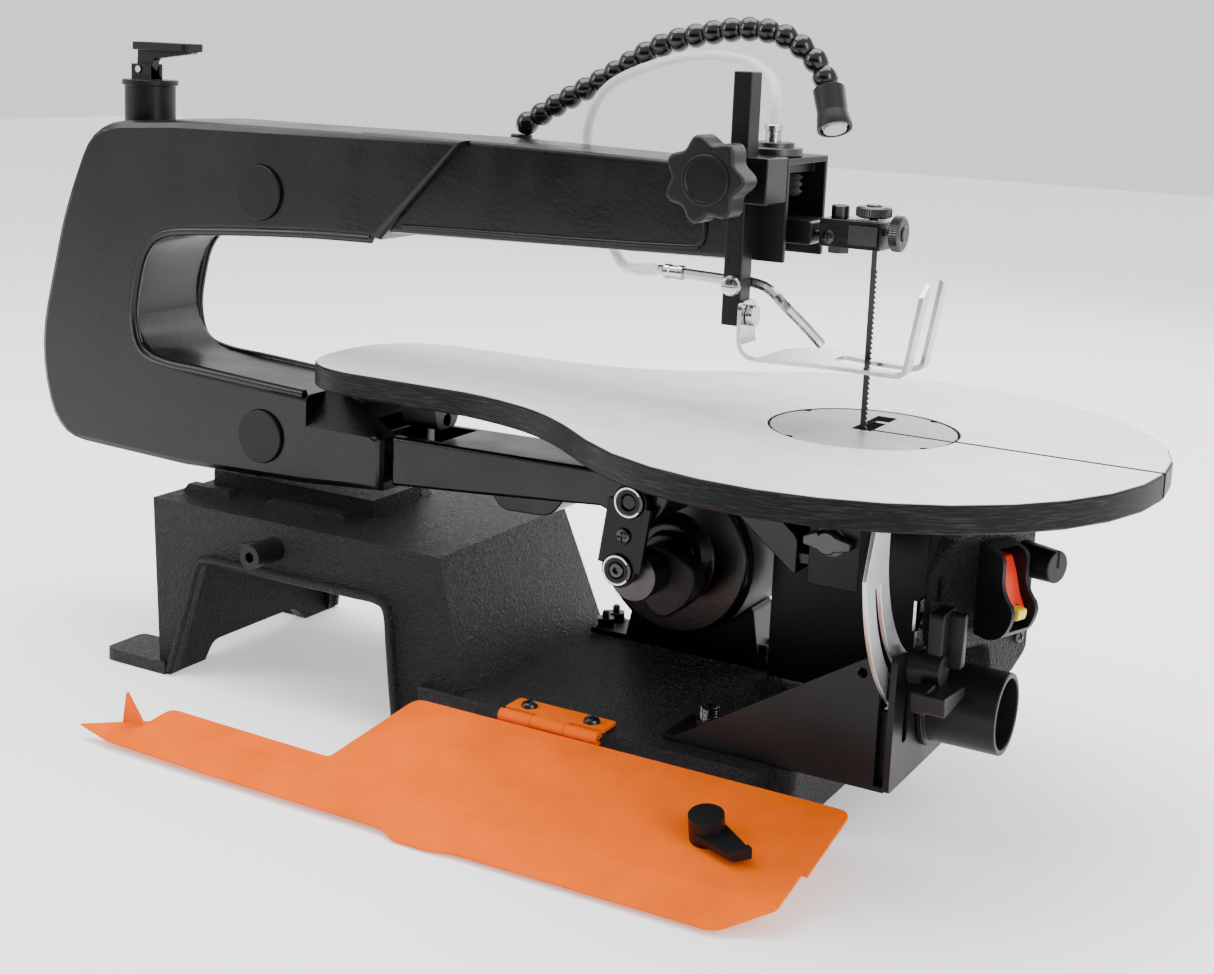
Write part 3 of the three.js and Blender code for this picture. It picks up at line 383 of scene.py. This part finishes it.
def swept(route, radius, sides=16, bore=0.0):
    """A round tube along a route in the frame; radii in mm. With a bore it is open at its ends."""
    def make(work):
        tangent = (route[1] - route[0]).normalized()
        side = tangent.orthogonal().normalized()
        shells = [radius] + ([bore] if bore else [])
        rings = {r: [] for r in shells}
        for i, point in enumerate(route):
            ahead = route[min(i + 1, len(route) - 1)]
            behind = route[max(i - 1, 0)]
            tangent = (ahead - behind).normalized()
            side = (side - tangent * side.dot(tangent)).normalized()
            across = tangent.cross(side)
            for r in shells:
                rings[r].append([work.verts.new(point + (
                    side * math.cos(2 * math.pi * k / sides)
                    + across * math.sin(2 * math.pi * k / sides)) * r * MM)
                    for k in range(sides)])
        for r in shells:
            for low, high in zip(rings[r], rings[r][1:]):
                for k in range(sides):
                    m = (k + 1) % sides
                    work.faces.new([low[k], low[m], high[m], high[k]])
        for end in (0, -1):
            if bore:
                outer, inner = rings[radius][end], rings[bore][end]
                for k in range(sides):
                    m = (k + 1) % sides
                    work.faces.new([outer[k], outer[m], inner[m], inner[k]])
            else:
                work.faces.new(rings[radius][end])
    return make


# ---- CAD pieces get their materials ------------------------------------------------------------

SLOT_OF = {part["node"]: part["material_slot"] for part in frame["record"]["subparts"]}


def dress_frame():
    """Every CAD node takes the look of its material slot."""
    for name, slot in SLOT_OF.items():
        obj = bpy.data.objects[name]
        obj.data.materials.clear()
        obj.data.materials.append(LOOKS[slot])


WELD = 2e-6  # metres: vertices nearer than this become one
FLAT_DEGREES = 0.5  # faces that meet at less than this become one


def rounded(node, width=0.6, segments=2, degrees=35):
    """A copy of a CAD node with softly rounded edges, shown in its place."""
    mesh = bpy.data.objects[node].data.copy()
    work = bmesh.new()
    work.from_mesh(mesh)
    bmesh.ops.remove_doubles(work, verts=work.verts, dist=WELD)
    bmesh.ops.dissolve_limit(work, angle_limit=math.radians(FLAT_DEGREES), verts=work.verts,
                             edges=work.edges)
    work.to_mesh(mesh)
    work.free()
    obj = bpy.data.objects.new(f"{node}_finish", mesh)
    bpy.context.scene.collection.objects.link(obj)
    finish = FINISH.get(node, SLOT_OF[node])
    mesh.materials[0] = LOOKS[finish]
    bevel = obj.modifiers.new("edges", "BEVEL")
    bevel.width = width * MM
    bevel.segments = segments
    bevel.limit_method = "ANGLE"
    bevel.angle_limit = math.radians(degrees)
    bevel.use_clamp_overlap = True
    bevel.harden_normals = False
    soften(mesh)
    normals = obj.modifiers.new("normals", "WEIGHTED_NORMAL")
    normals.keep_sharp = True
    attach(obj, source_body(node))
    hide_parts(node)


def source_body(node):
    bodies = frame["record"]["behaviour"]["bodies"]
    return next(body for body, nodes in bodies.items() if node in nodes)


# ---- Lamp --------------------------------------------------------------------------------------

NECK_Y = 36
NECK = [(-217, 307), (-195, 320), (-165, 336), (-135, 353), (-104, 361), (-82, 363), (-66, 360),
        (-54, 352.5), (-46, 344.5), (-43, 336)]
BEADS = 20
LOWER_BEADS = 10
HEAD_AIM = (0.36, -0.38, -0.85)


def even_points(route, count):
    """Points at equal steps along a sampled route."""
    lengths = [0.0]
    for a, b in zip(route, route[1:]):
        lengths.append(lengths[-1] + (b - a).length)
    out = []
    for i in range(count + 1):
        want = lengths[-1] * i / count
        k = next((j for j in range(1, len(lengths)) if lengths[j] >= want - 1e-9), len(lengths) - 1)
        part = (want - lengths[k - 1]) / max(lengths[k] - lengths[k - 1], 1e-9)
        out.append(route[k - 1].lerp(route[k], part))
    return out


def bead_neck():
    """The beaded neck: each bead is a glossy ball with a collar that cups the next one."""
    route = smooth_route([at(x, NECK_Y, z) for x, z in NECK], 24)
    stops = even_points(route, BEADS)
    for name, first, last in (("lamp_neck_lower", 0, LOWER_BEADS),
                              ("lamp_neck_upper", LOWER_BEADS, BEADS)):
        makers = []
        for i in range(first, last):
            start, end = stops[i], stops[i + 1]
            length = (end - start).length / MM
            turn = facing(end - start)
            profile = [(0, -1.2), (3.4, -1.2), (4.5, 0.1), (5.1, length * 0.08),
                       (6.05, length * 0.26), (6.35, length * 0.44), (6.1, length * 0.62),
                       (5.2, length * 0.82), (4.3, length * 0.95), (3.6, length), (0, length)]
            makers.append(placed(spun(profile, 28), start, turn))
        obj = piece(f"{name}_beads", several(*makers), "neck_plastic", name)
        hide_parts(name)


def placed(maker, origin, turn):
    """A shape turned and then moved."""
    def make(work):
        maker(work)
        bmesh.ops.transform(work, verts=work.verts,
                            matrix=Matrix.Translation(origin) @ turn.to_matrix().to_4x4())
    return make


def lamp_details():
    """The head's rim, its window and the light chips behind it."""
    low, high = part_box("lamp_lens")
    centre = (low + high) / 2
    axis = Vector(HEAD_AIM).normalized()
    turn = facing(axis)
    rim = spun([(5.7, -6.0), (7.7, -5.8), (8.2, -2.4), (8.7, 1.4), (8.5, 2.2), (7.4, 2.2),
                (6.4, -0.6), (5.7, -0.6), (5.7, -6.0)], 44)
    piece("lamp_rim", rim, "black_plastic", "lamp_head", centre + axis * 0.4 * MM, turn)
    dome = spun([(0, -0.4), (6.3, -0.4), (6.2, 0.4), (0, 0.6)], 32)
    piece("lamp_window", dome, "lens", "lamp_head", centre + axis * 0.8 * MM, turn)
    spots = [(0.0, 0.0)] + polygon(3.6, 5)
    chips = several(*(placed(spun([(0, 0.5), (1.1, 0.5), (0.8, 1.3), (0, 1.5)], 14),
                             Vector((x * MM, y * MM, 0)), Quaternion()) for x, y in spots))
    piece("lamp_chips", chips, "yellow", "lamp_head", centre + axis * 0.8 * MM, turn)


# ---- Hose and blower tube ----------------------------------------------------------------------

HOSE = [
    (-51, -8, 319.4), (-51, -7, 330), (-59, 2, 341), (-78, 12, 348), (-104, 20, 349),
    (-134, 26, 343), (-158, 24, 331), (-171, 29, 313), (-174, 34, 293), (-168, 35, 270),
    (-158, 32, 252), (-146, 20, 245), (-132, 2, 243.5), (-115, -19, 246), (-100.2, -26.9, 248),
]
HOSE_RADIUS = 2.95
HOSE_BORE_RADIUS = 2.1


def air_hose():
    """The clear hose: it leaves the nipple on the frame and ends on the blower tube's tail."""
    route = smooth_route([at(*p) for p in HOSE], 10)
    obj = piece("air_hose_tube", swept(route, HOSE_RADIUS, 20, HOSE_BORE_RADIUS), "clear_vinyl",
                None)
    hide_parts("air_hose")
    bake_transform(obj)


def blower_details():
    """The ferrule where the hose meets the tube, and the screw that holds the tube to the rod."""
    low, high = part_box("blower_tube")
    ferrule = spun([(0, -5.5), (3.2, -5.5), (3.6, -4.9), (3.6, -2.4), (3.2, -2), (3.2, 1.8),
                    (3.6, 2.2), (3.6, 4.6), (3.2, 5.2), (0, 5.2)], 28)
    piece("blower_ferrule", ferrule, "zinc", "foot_rod",
          Vector((low.x + 9 * MM, low.y + 2.6 * MM, high.z - 2.7 * MM)), facing((1, 0, 0)))
    rod_low, rod_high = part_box("foot_rod")
    centre = Vector(((rod_low.x + rod_high.x) / 2, rod_low.y, rod_low.z + 18.5 * MM))
    piece("blower_screw", pan_screw(5.0, 2.6), "zinc", "foot_rod", centre, facing((0, -1, 0)))


# ---- Screws, nuts and studs --------------------------------------------------------------------


def pan_screw(radius, height, slot_width=1.1):
    """A domed screw head with one driving slot."""
    def make(work):
        dome = [(0, -1.0), (radius * 0.6, -1.0), (radius * 0.96, 0), (radius, height * 0.35),
                (radius * 0.86, height * 0.8), (radius * 0.55, height), (0, height * 1.04)]
        spun(dome, 32)(work)
        carve(work, prism(rectangle(radius, slot_width / 2), height * 0.55, height * 1.6))
    return make


def carve(work, cutter_maker):
    """Cut a made shape out of a bmesh by a boolean on temporary objects."""
    cutter = bmesh.new()
    cutter_maker(cutter)
    meshes, objects = [], []
    for source in (work, cutter):
        bmesh.ops.recalc_face_normals(source, faces=source.faces)
        mesh = bpy.data.meshes.new("carve")
        source.to_mesh(mesh)
        obj = bpy.data.objects.new("carve", mesh)
        bpy.context.scene.collection.objects.link(obj)
        meshes.append(mesh)
        objects.append(obj)
    step = objects[0].modifiers.new("cut", "BOOLEAN")
    step.operation = "DIFFERENCE"
    step.solver = "EXACT"
    step.object = objects[1]
    bpy.context.view_layer.update()
    done = objects[0].evaluated_get(bpy.context.evaluated_depsgraph_get())
    result = bpy.data.meshes.new_from_object(done)
    work.clear()
    work.from_mesh(result)
    for obj in objects:
        bpy.data.objects.remove(obj)
    for mesh in (*meshes, result):
        bpy.data.meshes.remove(mesh)
    cutter.free()


def socket_screw(radius, height):
    """A cylinder head with a hexagon socket."""
    def make(work):
        spun([(0, -1), (radius, -1), (radius, height - 0.5), (radius - 0.5, height), (0, height)],
             32)(work)
        carve(work, prism(polygon(radius * 0.5, 6), height - 2, height + 2))
    return make


def cross_screw(radius, height):
    """A domed screw head with a cross recess."""
    def make(work):
        spun([(0, -0.8), (radius, -0.8), (radius, 0.3), (radius * 0.85, height * 0.7),
              (radius * 0.5, height), (0, height * 1.05)], 32)(work)
        w = radius * 0.12
        reach = radius * 0.62
        for x, y in ((reach, w), (w, reach)):
            carve(work, prism(rectangle(x, y), height * 0.45, height * 2))
    return make


def hex_nut(across, height, bore):
    """A plain nut with a round hole."""
    def make(work):
        prism(polygon(across / math.sqrt(3), 6), 0, height)(work)
        carve(work, spun([(0, -1), (bore, -1), (bore, height + 1), (0, height + 1)], 24))
    return make


def thread(radius, length, pitch=1.25, depth=0.55):
    """A threaded stud: a stack of rolled crests."""
    profile = [(0, 0), (radius - depth, 0)]
    turns = int(length / pitch)
    for i in range(turns):
        profile += [(radius - depth, (i + 0.1) * pitch), (radius, (i + 0.4) * pitch),
                    (radius, (i + 0.6) * pitch), (radius - depth, (i + 0.9) * pitch)]
    profile += [(radius - depth - 0.4, length), (0, length)]
    return spun(profile, 28)


def circlip(radius):
    """An open spring ring."""
    half_width, thickness, steps = 0.4, 0.4, 30
    first_degrees, span_degrees = 35, 290
    section = [(radius - half_width, 0), (radius + half_width, 0),
               (radius + half_width, thickness), (radius - half_width, thickness)]

    def make(work):
        rows = []
        for i in range(steps + 1):
            angle = math.radians(first_degrees + span_degrees * i / steps)
            rows.append([work.verts.new((r * MM * math.cos(angle), r * MM * math.sin(angle),
                                         z * MM)) for r, z in section])
        for a, b in zip(rows, rows[1:]):
            for k in range(4):
                m = (k + 1) % 4
                work.faces.new([a[k], a[m], b[m], b[k]])
        work.faces.new(rows[0])
        work.faces.new(rows[-1])
    return make


BRACKET_FOOT_TOP = 32.8  # heights above the bench
HINGE_LEAF_TOP = 31.8
MOTOR_FOOT_TOP = 33.5


def deck_hardware():
    """The deck stud and its nut, the hinge's screws and the motor foot's bolts."""
    low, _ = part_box("trunnion_bracket")
    stud = Vector((low.x + 14 * MM, low.y + 21 * MM, at(0, 0, BRACKET_FOOT_TOP).z))
    piece("deck_stud", thread(4.6, 10), "zinc", "frame", stud)
    piece("deck_stud_nut", hex_nut(12, 4, 4.7), "dark_steel", "frame", stud)
    leaf_low, leaf_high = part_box("hinge_leaf")
    top = at(0, 0, HINGE_LEAF_TOP).z
    for i, part in enumerate((0.18, 0.82)):
        x = leaf_low.x + (leaf_high.x - leaf_low.x) * part
        piece(f"hinge_screw_{i + 1}", cross_screw(4.2, 2.6), "dark_steel", "frame",
              Vector((x, leaf_high.y - 7.5 * MM, top)))
    foot_low, foot_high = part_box("motor_bracket")
    on_washer = Vector((0, 0, 1 * MM))
    washer = spun([(0, 0), (5.6, 0), (5.6, 1), (0, 1)], 28)
    bolt = several(washer, placed(hex_nut(9, 4, 2.2), on_washer, Quaternion()),
                   placed(thread(2.2, 8, 0.9, 0.3), on_washer, Quaternion()))
    for i, x in enumerate((foot_low.x + 6 * MM, foot_high.x - 5 * MM)):
        for j, y in enumerate((foot_low.y + 6 * MM, foot_high.y - 6 * MM)):
            piece(f"motor_foot_bolt_{i + 1}{j + 1}", bolt, "dark_steel", "frame",
                  Vector((x, y, at(0, 0, MOTOR_FOOT_TOP).z)))


def link_hardware():
    """Circlips and seals on the drive link's two bearings, and the screw between them."""
    out = facing((0, -1, 0))
    for name, body in (("link_bearing_upper", "lower_arm"), ("link_bearing_lower", "drive_link")):
        centre = middle_near(name)
        piece(f"{name}_clip", circlip(7.2), "zinc", body, centre + Vector((0, -0.2 * MM, 0)), out)
        seal = spun([(4.4, -0.2), (6.3, -0.2), (6.1, 0.35), (4.6, 0.35), (4.4, -0.2)], 32)
        piece(f"{name}_seal", seal, "black_plastic", body, centre, out)
        if name.endswith("lower"):
            piece("link_pin_lower", socket_screw(3.9, 1.2), "dark_steel", body,
                  centre + Vector((0, 0.4 * MM, 0)), out)
    piece("link_screw", cross_screw(4.3, 2.2), "dark_steel", "drive_link",
          middle_near("drive_link"), out)


def clamp_hardware():
    """Cap screw and nut through the upper blade clamp, and the washer on the lower one."""
    low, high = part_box("upper_blade_clamp")
    spot = Vector((low.x + 6.5 * MM, (low.y + high.y) / 2, high.z))
    piece("clamp_cap_screw", socket_screw(4.2, 6), "dark_steel", "blade_set", spot)
    nut_height = 3.4
    piece("clamp_cap_screw_nut", hex_nut(9, nut_height, 2.4), "dark_steel", "blade_set",
          Vector((spot.x, spot.y, low.z - nut_height * MM)))
    lower_low, lower_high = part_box("lower_blade_clamp")
    spot = Vector((lower_low.x + 11 * MM, lower_low.y, lower_high.z - 8 * MM))
    piece("lower_clamp_washer", spun([(0, -0.4), (8, -0.4), (8, 0.2), (7.4, 0.4), (0, 0.4)], 32),
          "dark_steel", "blade_set", spot, facing((0, -1, 0)))


def blade_teeth():
    """A strip of small hooked teeth down the blade's front edge."""
    low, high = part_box("blade")
    pitch, half_thickness, reach, first = 2.4, 0.35, 1.0, 10
    count = int((high.z - low.z) / MM / pitch) - 8

    def make(work):
        for i in range(count):
            z = first + i * pitch
            tooth = [(0, z), (reach, z + 0.35), (0, z + pitch * 0.8)]
            for side in (-half_thickness, half_thickness):
                for x, h in tooth:
                    work.verts.new((x * MM, side * MM, h * MM))
            work.verts.ensure_lookup_table()
            v = work.verts[-6:]
            work.faces.new(v[0:3])
            work.faces.new(list(reversed(v[3:6])))
            for a in range(3):
                b = (a + 1) % 3
                work.faces.new([v[a], v[b], v[3 + b], v[3 + a]])

    spot = Vector((high.x, (low.y + high.y) / 2, low.z))
    piece("blade_teeth", make, "dark_steel", "blade_set", spot)


def panel_hardware():
    """Two screws on the switch box's slanted front."""
    slant = math.radians(20)
    outward = Vector((math.cos(slant), -math.sin(slant), 0))
    along = Vector((-outward.y, outward.x, 0))
    corner = at(50, -36, 0)
    for i, (v, z) in enumerate(((70, 84), (20, 92))):
        spot = corner + along * v * MM + Vector((0, 0, z * MM))
        piece(f"panel_screw_{i + 1}", cross_screw(3.6, 1.8), "dark_steel", "frame", spot,
              facing(outward))


# ---- Cast edges, knurls and small plates -------------------------------------------------------

SIDES = ((-1, "near"), (1, "far"))
THROAT = [(-268, 247.4), (-313, 246), (-373, 242), (-411, 237.5), (-426, 226), (-433, 205),
          (-435, 185), (-429, 169), (-412, 163.5), (-383, 162), (-340, 159.6), (-311, 158.2)]


def throat_beads():
    """The rolled bead along both edges of the frame's throat."""
    for side, name in SIDES:
        route = smooth_route([at(x, side * 27.4, z) for x, z in THROAT], 8)
        piece(f"throat_bead_{name}", swept(route, 2.6, 14), "gloss_black", "frame")


ARCH = [(-366, 2), (-362, 20), (-357, 42), (-352.5, 62), (-346, 67), (-330, 67.4), (-290, 67.4),
        (-250, 67.4), (-232, 67), (-225, 62), (-221, 44), (-216.5, 22), (-212.5, 4)]


def wall_half(z):
    """Half the width of the base's bridge at a height: its sides lean in towards the top."""
    at_floor, at_top, top = 74, 62, 95
    return at_floor + (at_top - at_floor) * z / top


def arch_rims():
    """The raised rim round the arch in each side of the base, lying on the sloping wall."""
    for side, name in SIDES:
        route = smooth_route([at(x, side * wall_half(z), z) for x, z in ARCH], 6)
        piece(f"arch_rim_{name}", swept(route, 2.6, 12), "crinkle_black", "frame")


def knurled(radius, thickness, teeth=44, depth=0.45):
    """A turned head with fine straight knurling and chamfered edges."""
    chamfer = 0.9
    end_radius = radius - chamfer - depth
    levels = ((0, end_radius, 0), (0.14, radius, depth), (0.86, radius, depth),
              (1, end_radius, 0))

    def make(work):
        rings = []
        for part, reach, cut in levels:
            rings.append([work.verts.new((
                (reach - cut * (i % 2)) * MM * math.cos(math.pi * i / teeth),
                (reach - cut * (i % 2)) * MM * math.sin(math.pi * i / teeth),
                part * thickness * MM)) for i in range(2 * teeth)])
        for low, high in zip(rings, rings[1:]):
            for i in range(2 * teeth):
                j = (i + 1) % (2 * teeth)
                work.faces.new([low[i], low[j], high[j], high[i]])
        work.faces.new(rings[0])
        work.faces.new(rings[-1])
    return make


def thumbscrews():
    """Finely knurled heads with a small raised boss at the centre, in place of the plain ones."""
    for node, axis in (("thumbscrew_top", Vector((0, 0, 1))),
                       ("thumbscrew_front", Vector((1, 0, 0)))):
        low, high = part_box(node)
        centre = (low + high) / 2
        depth = (high - low).dot(axis)
        seat = centre - axis * depth / 2
        thick = 5.2
        head = placed(knurled(8.4, thick), axis * (depth - thick * MM), facing(axis))
        shank = placed(spun([(0, 0), (2, 0), (2, depth / MM - 1), (0, depth / MM - 1)], 16),
                       Vector((0, 0, 0)), facing(axis))
        boss = placed(spun([(0, 0), (3.6, 0), (3.6, 0.7), (3.1, 1.1), (0, 1.1)], 24),
                      axis * (depth - 0.2 * MM), facing(axis))
        obj = piece(f"{node}_knurled", several(head, shank, boss), "dark_steel", node, seat)
        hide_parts(node)


ARM_EDGE = [(-250, 255), (-200, 256.5), (-140, 258), (-86, 260), (-79, 261.5), (-76.5, 265),
            (-76, 275), (-76, 292)]


def arm_rims():
    """The raised rim on both sides of the arm: its lower edge, then up beside the nose."""
    for side, name in SIDES:
        route = smooth_route([at(x, side * 24.2, z) for x, z in ARM_EDGE], 8)
        piece(f"arm_rim_{name}", swept(route, 1.3, 12), "gloss_black", "frame")


def nose_details():
    """The nipple's collar, the upper clamp's plate, screw and jaw, and the marks on the rod."""
    _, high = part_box("air_fitting")
    nipple = Vector((at(-51, 0, 0).x, at(0, -8, 0).y, high.z))
    collar = spun([(0, -7.5), (3.7, -7.5), (3.7, -2.6), (4.4, -2.2), (4.4, 0.2), (4.0, 0.5),
                   (0, 0.5)], 32)
    piece("nipple_collar", collar, "zinc", "frame", nipple)
    low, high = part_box("upper_blade_clamp")
    x = (low.x - ORIGIN.x) / MM
    plate = slab(x + 13, x + 29.5, -7.5, 7.5, 0, 0.7)
    piece("clamp_plate", plate, "zinc", "blade_set", at(0, 0, 0) + Vector((0, 0, high.z)))
    side = Vector((low.x + 5 * MM, low.y, low.z + 4.5 * MM))
    piece("clamp_side_screw", cross_screw(3.4, 1.6), "dark_steel", "blade_set", side,
          facing((0, -1, 0)))
    edge = Vector((low.x + 22 * MM, low.y, (low.z + high.z) / 2))
    piece("clamp_jaw", slab(-7, 7, -4.5, 4.5, -0.5, 1.2), "dark_steel", "blade_set", edge,
          facing((0, -1, 0)))
    rod_low, rod_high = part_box("foot_rod")
    ring = spun([(2.2, -0.3), (3.4, -0.3), (3.3, 0.25), (2.4, 0.25), (2.2, -0.3)], 28)
    top_mark, mark_step = 279, 10
    for i in range(3):
        spot = Vector(((rod_low.x + rod_high.x) / 2, rod_low.y,
                       at(0, 0, top_mark - mark_step * i).z))
        piece(f"rod_mark_{i + 1}", ring, "satin_black", "foot_rod", spot, facing((0, -1, 0)))


def knob_boss():
    """The raised ring on the star knob's face."""
    centre = middle_near("rod_knob") + Vector((0.6 * MM, 0, 0))
    ring = spun([(0, -0.6), (11.5, -0.6), (11.5, 0.5), (10.8, 1.0), (9.8, 1.0), (9.2, 0.2),
                 (0, 0.2)], 48)
    piece("rod_knob_ring", ring, "satin_black", "rod_knob", centre, facing((0, -1, 0)))


def bracket_details():
    """The web in the bracket's corner, its rear wing, and the bevel scale's pointer and screw."""
    piece("bracket_web", slab(33, 43.9, -57, -54, 33, 66), "satin_black", "frame", at(0, 0, 0))
    piece("bracket_wing", slab(22, 39.4, 45.5, 48, 31, 158), "satin_black", "frame", at(0, 0, 0))
    pointer = several(slab(44.2, 45.4, -34, -18, 80, 112), slab(43, 45.4, -34, -32.6, 98, 112))
    piece("scale_pointer", pointer, "zinc", "frame", at(0, 0, 0))
    piece("pointer_screw", cross_screw(4.2, 2.4), "dark_steel", "frame", at(45.4, -26, 101),
          facing((1, 0, 0)))


# ---- Stage, light and camera -------------------------------------------------------------------


def flat_object(name, half_x, half_y, look):
    """A flat rectangle about the origin, in metres, that belongs to the stage."""
    mesh = bpy.data.meshes.new(name)
    corners = [(x, y, 0) for x, y in rectangle(half_x, half_y)]
    mesh.from_pydata(corners, [], [(0, 1, 2, 3)])
    mesh.materials.append(look.material)
    obj = bpy.data.objects.new(name, mesh)
    bpy.context.scene.collection.objects.link(obj)
    return obj


def make_stage():
    """A pale floor that glows a little, just under the feet."""
    half_size, sink = 4.0, 0.0002
    look = Look("floor", (0.93, 0.93, 0.93), 0.95, Specular_IOR_Level=0.1)
    look.link(look.mix(look.noise(3, 2), (0.92, 0.92, 0.92), (0.94, 0.94, 0.94)),
              look.shader.inputs["Base Color"])
    look.set("Emission Color", (1, 1, 1, 1))
    look.set("Emission Strength", 0.4)
    flat_object("floor", half_size, half_size, look).location = (0, 0, -sink)


def aim_at(obj, place, target, front):
    """Put an object at a place, with its front axis towards a target."""
    obj.location = place
    obj.rotation_mode = "QUATERNION"
    obj.rotation_quaternion = (Vector(target) - Vector(place)).to_track_quat(front, "Y")


def area_light(name, place, target, size, power):
    data = bpy.data.lights.new(name, "AREA")
    data.shape = "RECTANGLE"
    data.size, data.size_y = size
    data.energy = power
    obj = bpy.data.objects.new(name, data)
    aim_at(obj, place, target, "-Z")
    bpy.context.scene.collection.objects.link(obj)


def dark_card(name, place, target, width, height):
    """A black card beside the set, which gives metal and gloss a dark side to reflect."""
    look = Look(name, (0.01, 0.01, 0.01), 1.0, Specular_IOR_Level=0.0)
    obj = flat_object(name, width / 2, height / 2, look)
    aim_at(obj, place, target, "Z")
    obj.visible_camera = False


# Where each light stands from the middle of the saw, in metres; its size; its power in watts.
LIGHTS = {
    "overhead": ((-0.1, 0.15, 1.25), (1.5, 1.0), 33),
    "left_panel": ((-1.2, -0.9, 0.8), (0.5, 1.0), 10),
    "right_panel": ((1.3, -0.5, 0.6), (0.4, 1.0), 10),
    "back_panel": ((0.3, 1.5, 0.7), (1.6, 0.8), 12),
}


def light_stage():
    """Soft light from four panels and a pale surround."""
    world = bpy.data.worlds.new("studio")
    bpy.context.scene.world = world
    world.use_nodes = True
    background = world.node_tree.nodes["Background"]
    background.inputs["Color"].default_value = (0.96, 0.97, 1.0, 1)
    background.inputs["Strength"].default_value = 1.2
    middle = at(-180, 0, 150)
    for name, (offset, size, power) in LIGHTS.items():
        area_light(name, middle + Vector(offset), middle, size, power)
    dark_card("front_card", middle + Vector((0.1, -1.9, 0.25)), middle, 3.4, 1.3)


CAMERA_PLACE = (296.2, -792.5, 360.7)
CAMERA_TURN = (29.38, 10.54, 2.31)  # degrees: round the saw, down, and roll


def make_camera():
    """The camera, aimed by its turn rather than at a target."""
    azimuth, drop, roll = (math.radians(v) for v in CAMERA_TURN)
    forward = Vector((-math.sin(azimuth) * math.cos(drop), math.cos(azimuth) * math.cos(drop),
                      -math.sin(drop)))
    right = Vector((math.cos(azimuth), math.sin(azimuth), 0))
    up = right.cross(forward)
    right_rolled = right * math.cos(roll) + up * math.sin(roll)
    up_rolled = up * math.cos(roll) - right * math.sin(roll)
    data = bpy.data.cameras.new("camera")
    data.sensor_width = 36
    data.lens = 53.66
    data.shift_x = 0.0154
    data.shift_y = -0.1011
    data.clip_start = 0.01
    obj = bpy.data.objects.new("camera", data)
    turn = Matrix((right_rolled, up_rolled, -forward)).transposed().to_4x4()
    obj.matrix_world = Matrix.Translation(at(*CAMERA_PLACE)) @ turn
    bpy.context.scene.collection.objects.link(obj)
    bpy.context.scene.camera = obj


# ---- Build -------------------------------------------------------------------------------------

# How far each shown node's edges are rounded, in mm.
ROUNDED = {
    "base": 1.6, "c_frame": 1.0, "table": 0.8, "arm_nose": 0.5, "trunnion_bracket": 0.5,
    "switch_box": 1.0, "side_cover": 0.3, "drop_foot": 0.3, "foot_rod": 0.5, "rod_clamp": 0.8,
    "rod_knob": 0.6, "tension_collar": 0.6, "tension_lever": 0.6, "lower_rocker_arm": 0.8,
    "upper_blade_clamp": 0.5, "lower_blade_clamp": 0.5, "lock_lever": 0.5, "dust_port": 0.5,
    "lamp_head": 0.5, "lamp_base": 0.6, "motor_end_bell": 1.0, "motor_can": 1.5,
    "counterweight": 0.8, "drive_crank": 0.5, "drive_link": 0.3, "speed_knob": 0.6,
    "switch_paddle": 0.5, "switch_guard": 0.4, "safety_key": 0.4, "cover_latch": 0.4,
    "bevel_scale": 0.3, "side_post": 0.5, "upper_pivot_cap": 0.5, "lower_pivot_cap": 0.5,
    "wing_nut": 0.5, "air_fitting": 0.4, "foot_screw": 0.4, "table_insert": 0.25,
    "motor_bracket": 0.4, "hinge_leaf": 0.2, "cover_leaf": 0.2, "link_bearing_upper": 0.3,
    "link_bearing_lower": 0.3, "upper_rocker_arm": 0.6, "cord_gland": 0.4, "rear_trunnion": 0.5,
}

dress_frame()
for node, width in ROUNDED.items():
    rounded(node, width)
for build in (
    bead_neck, lamp_details, air_hose, blower_details, deck_hardware, link_hardware,
    clamp_hardware, blade_teeth, panel_hardware, throat_beads, thumbscrews, knob_boss,
    bracket_details, arch_rims, arm_rims, nose_details, make_stage, light_stage, make_camera,
):
    build()
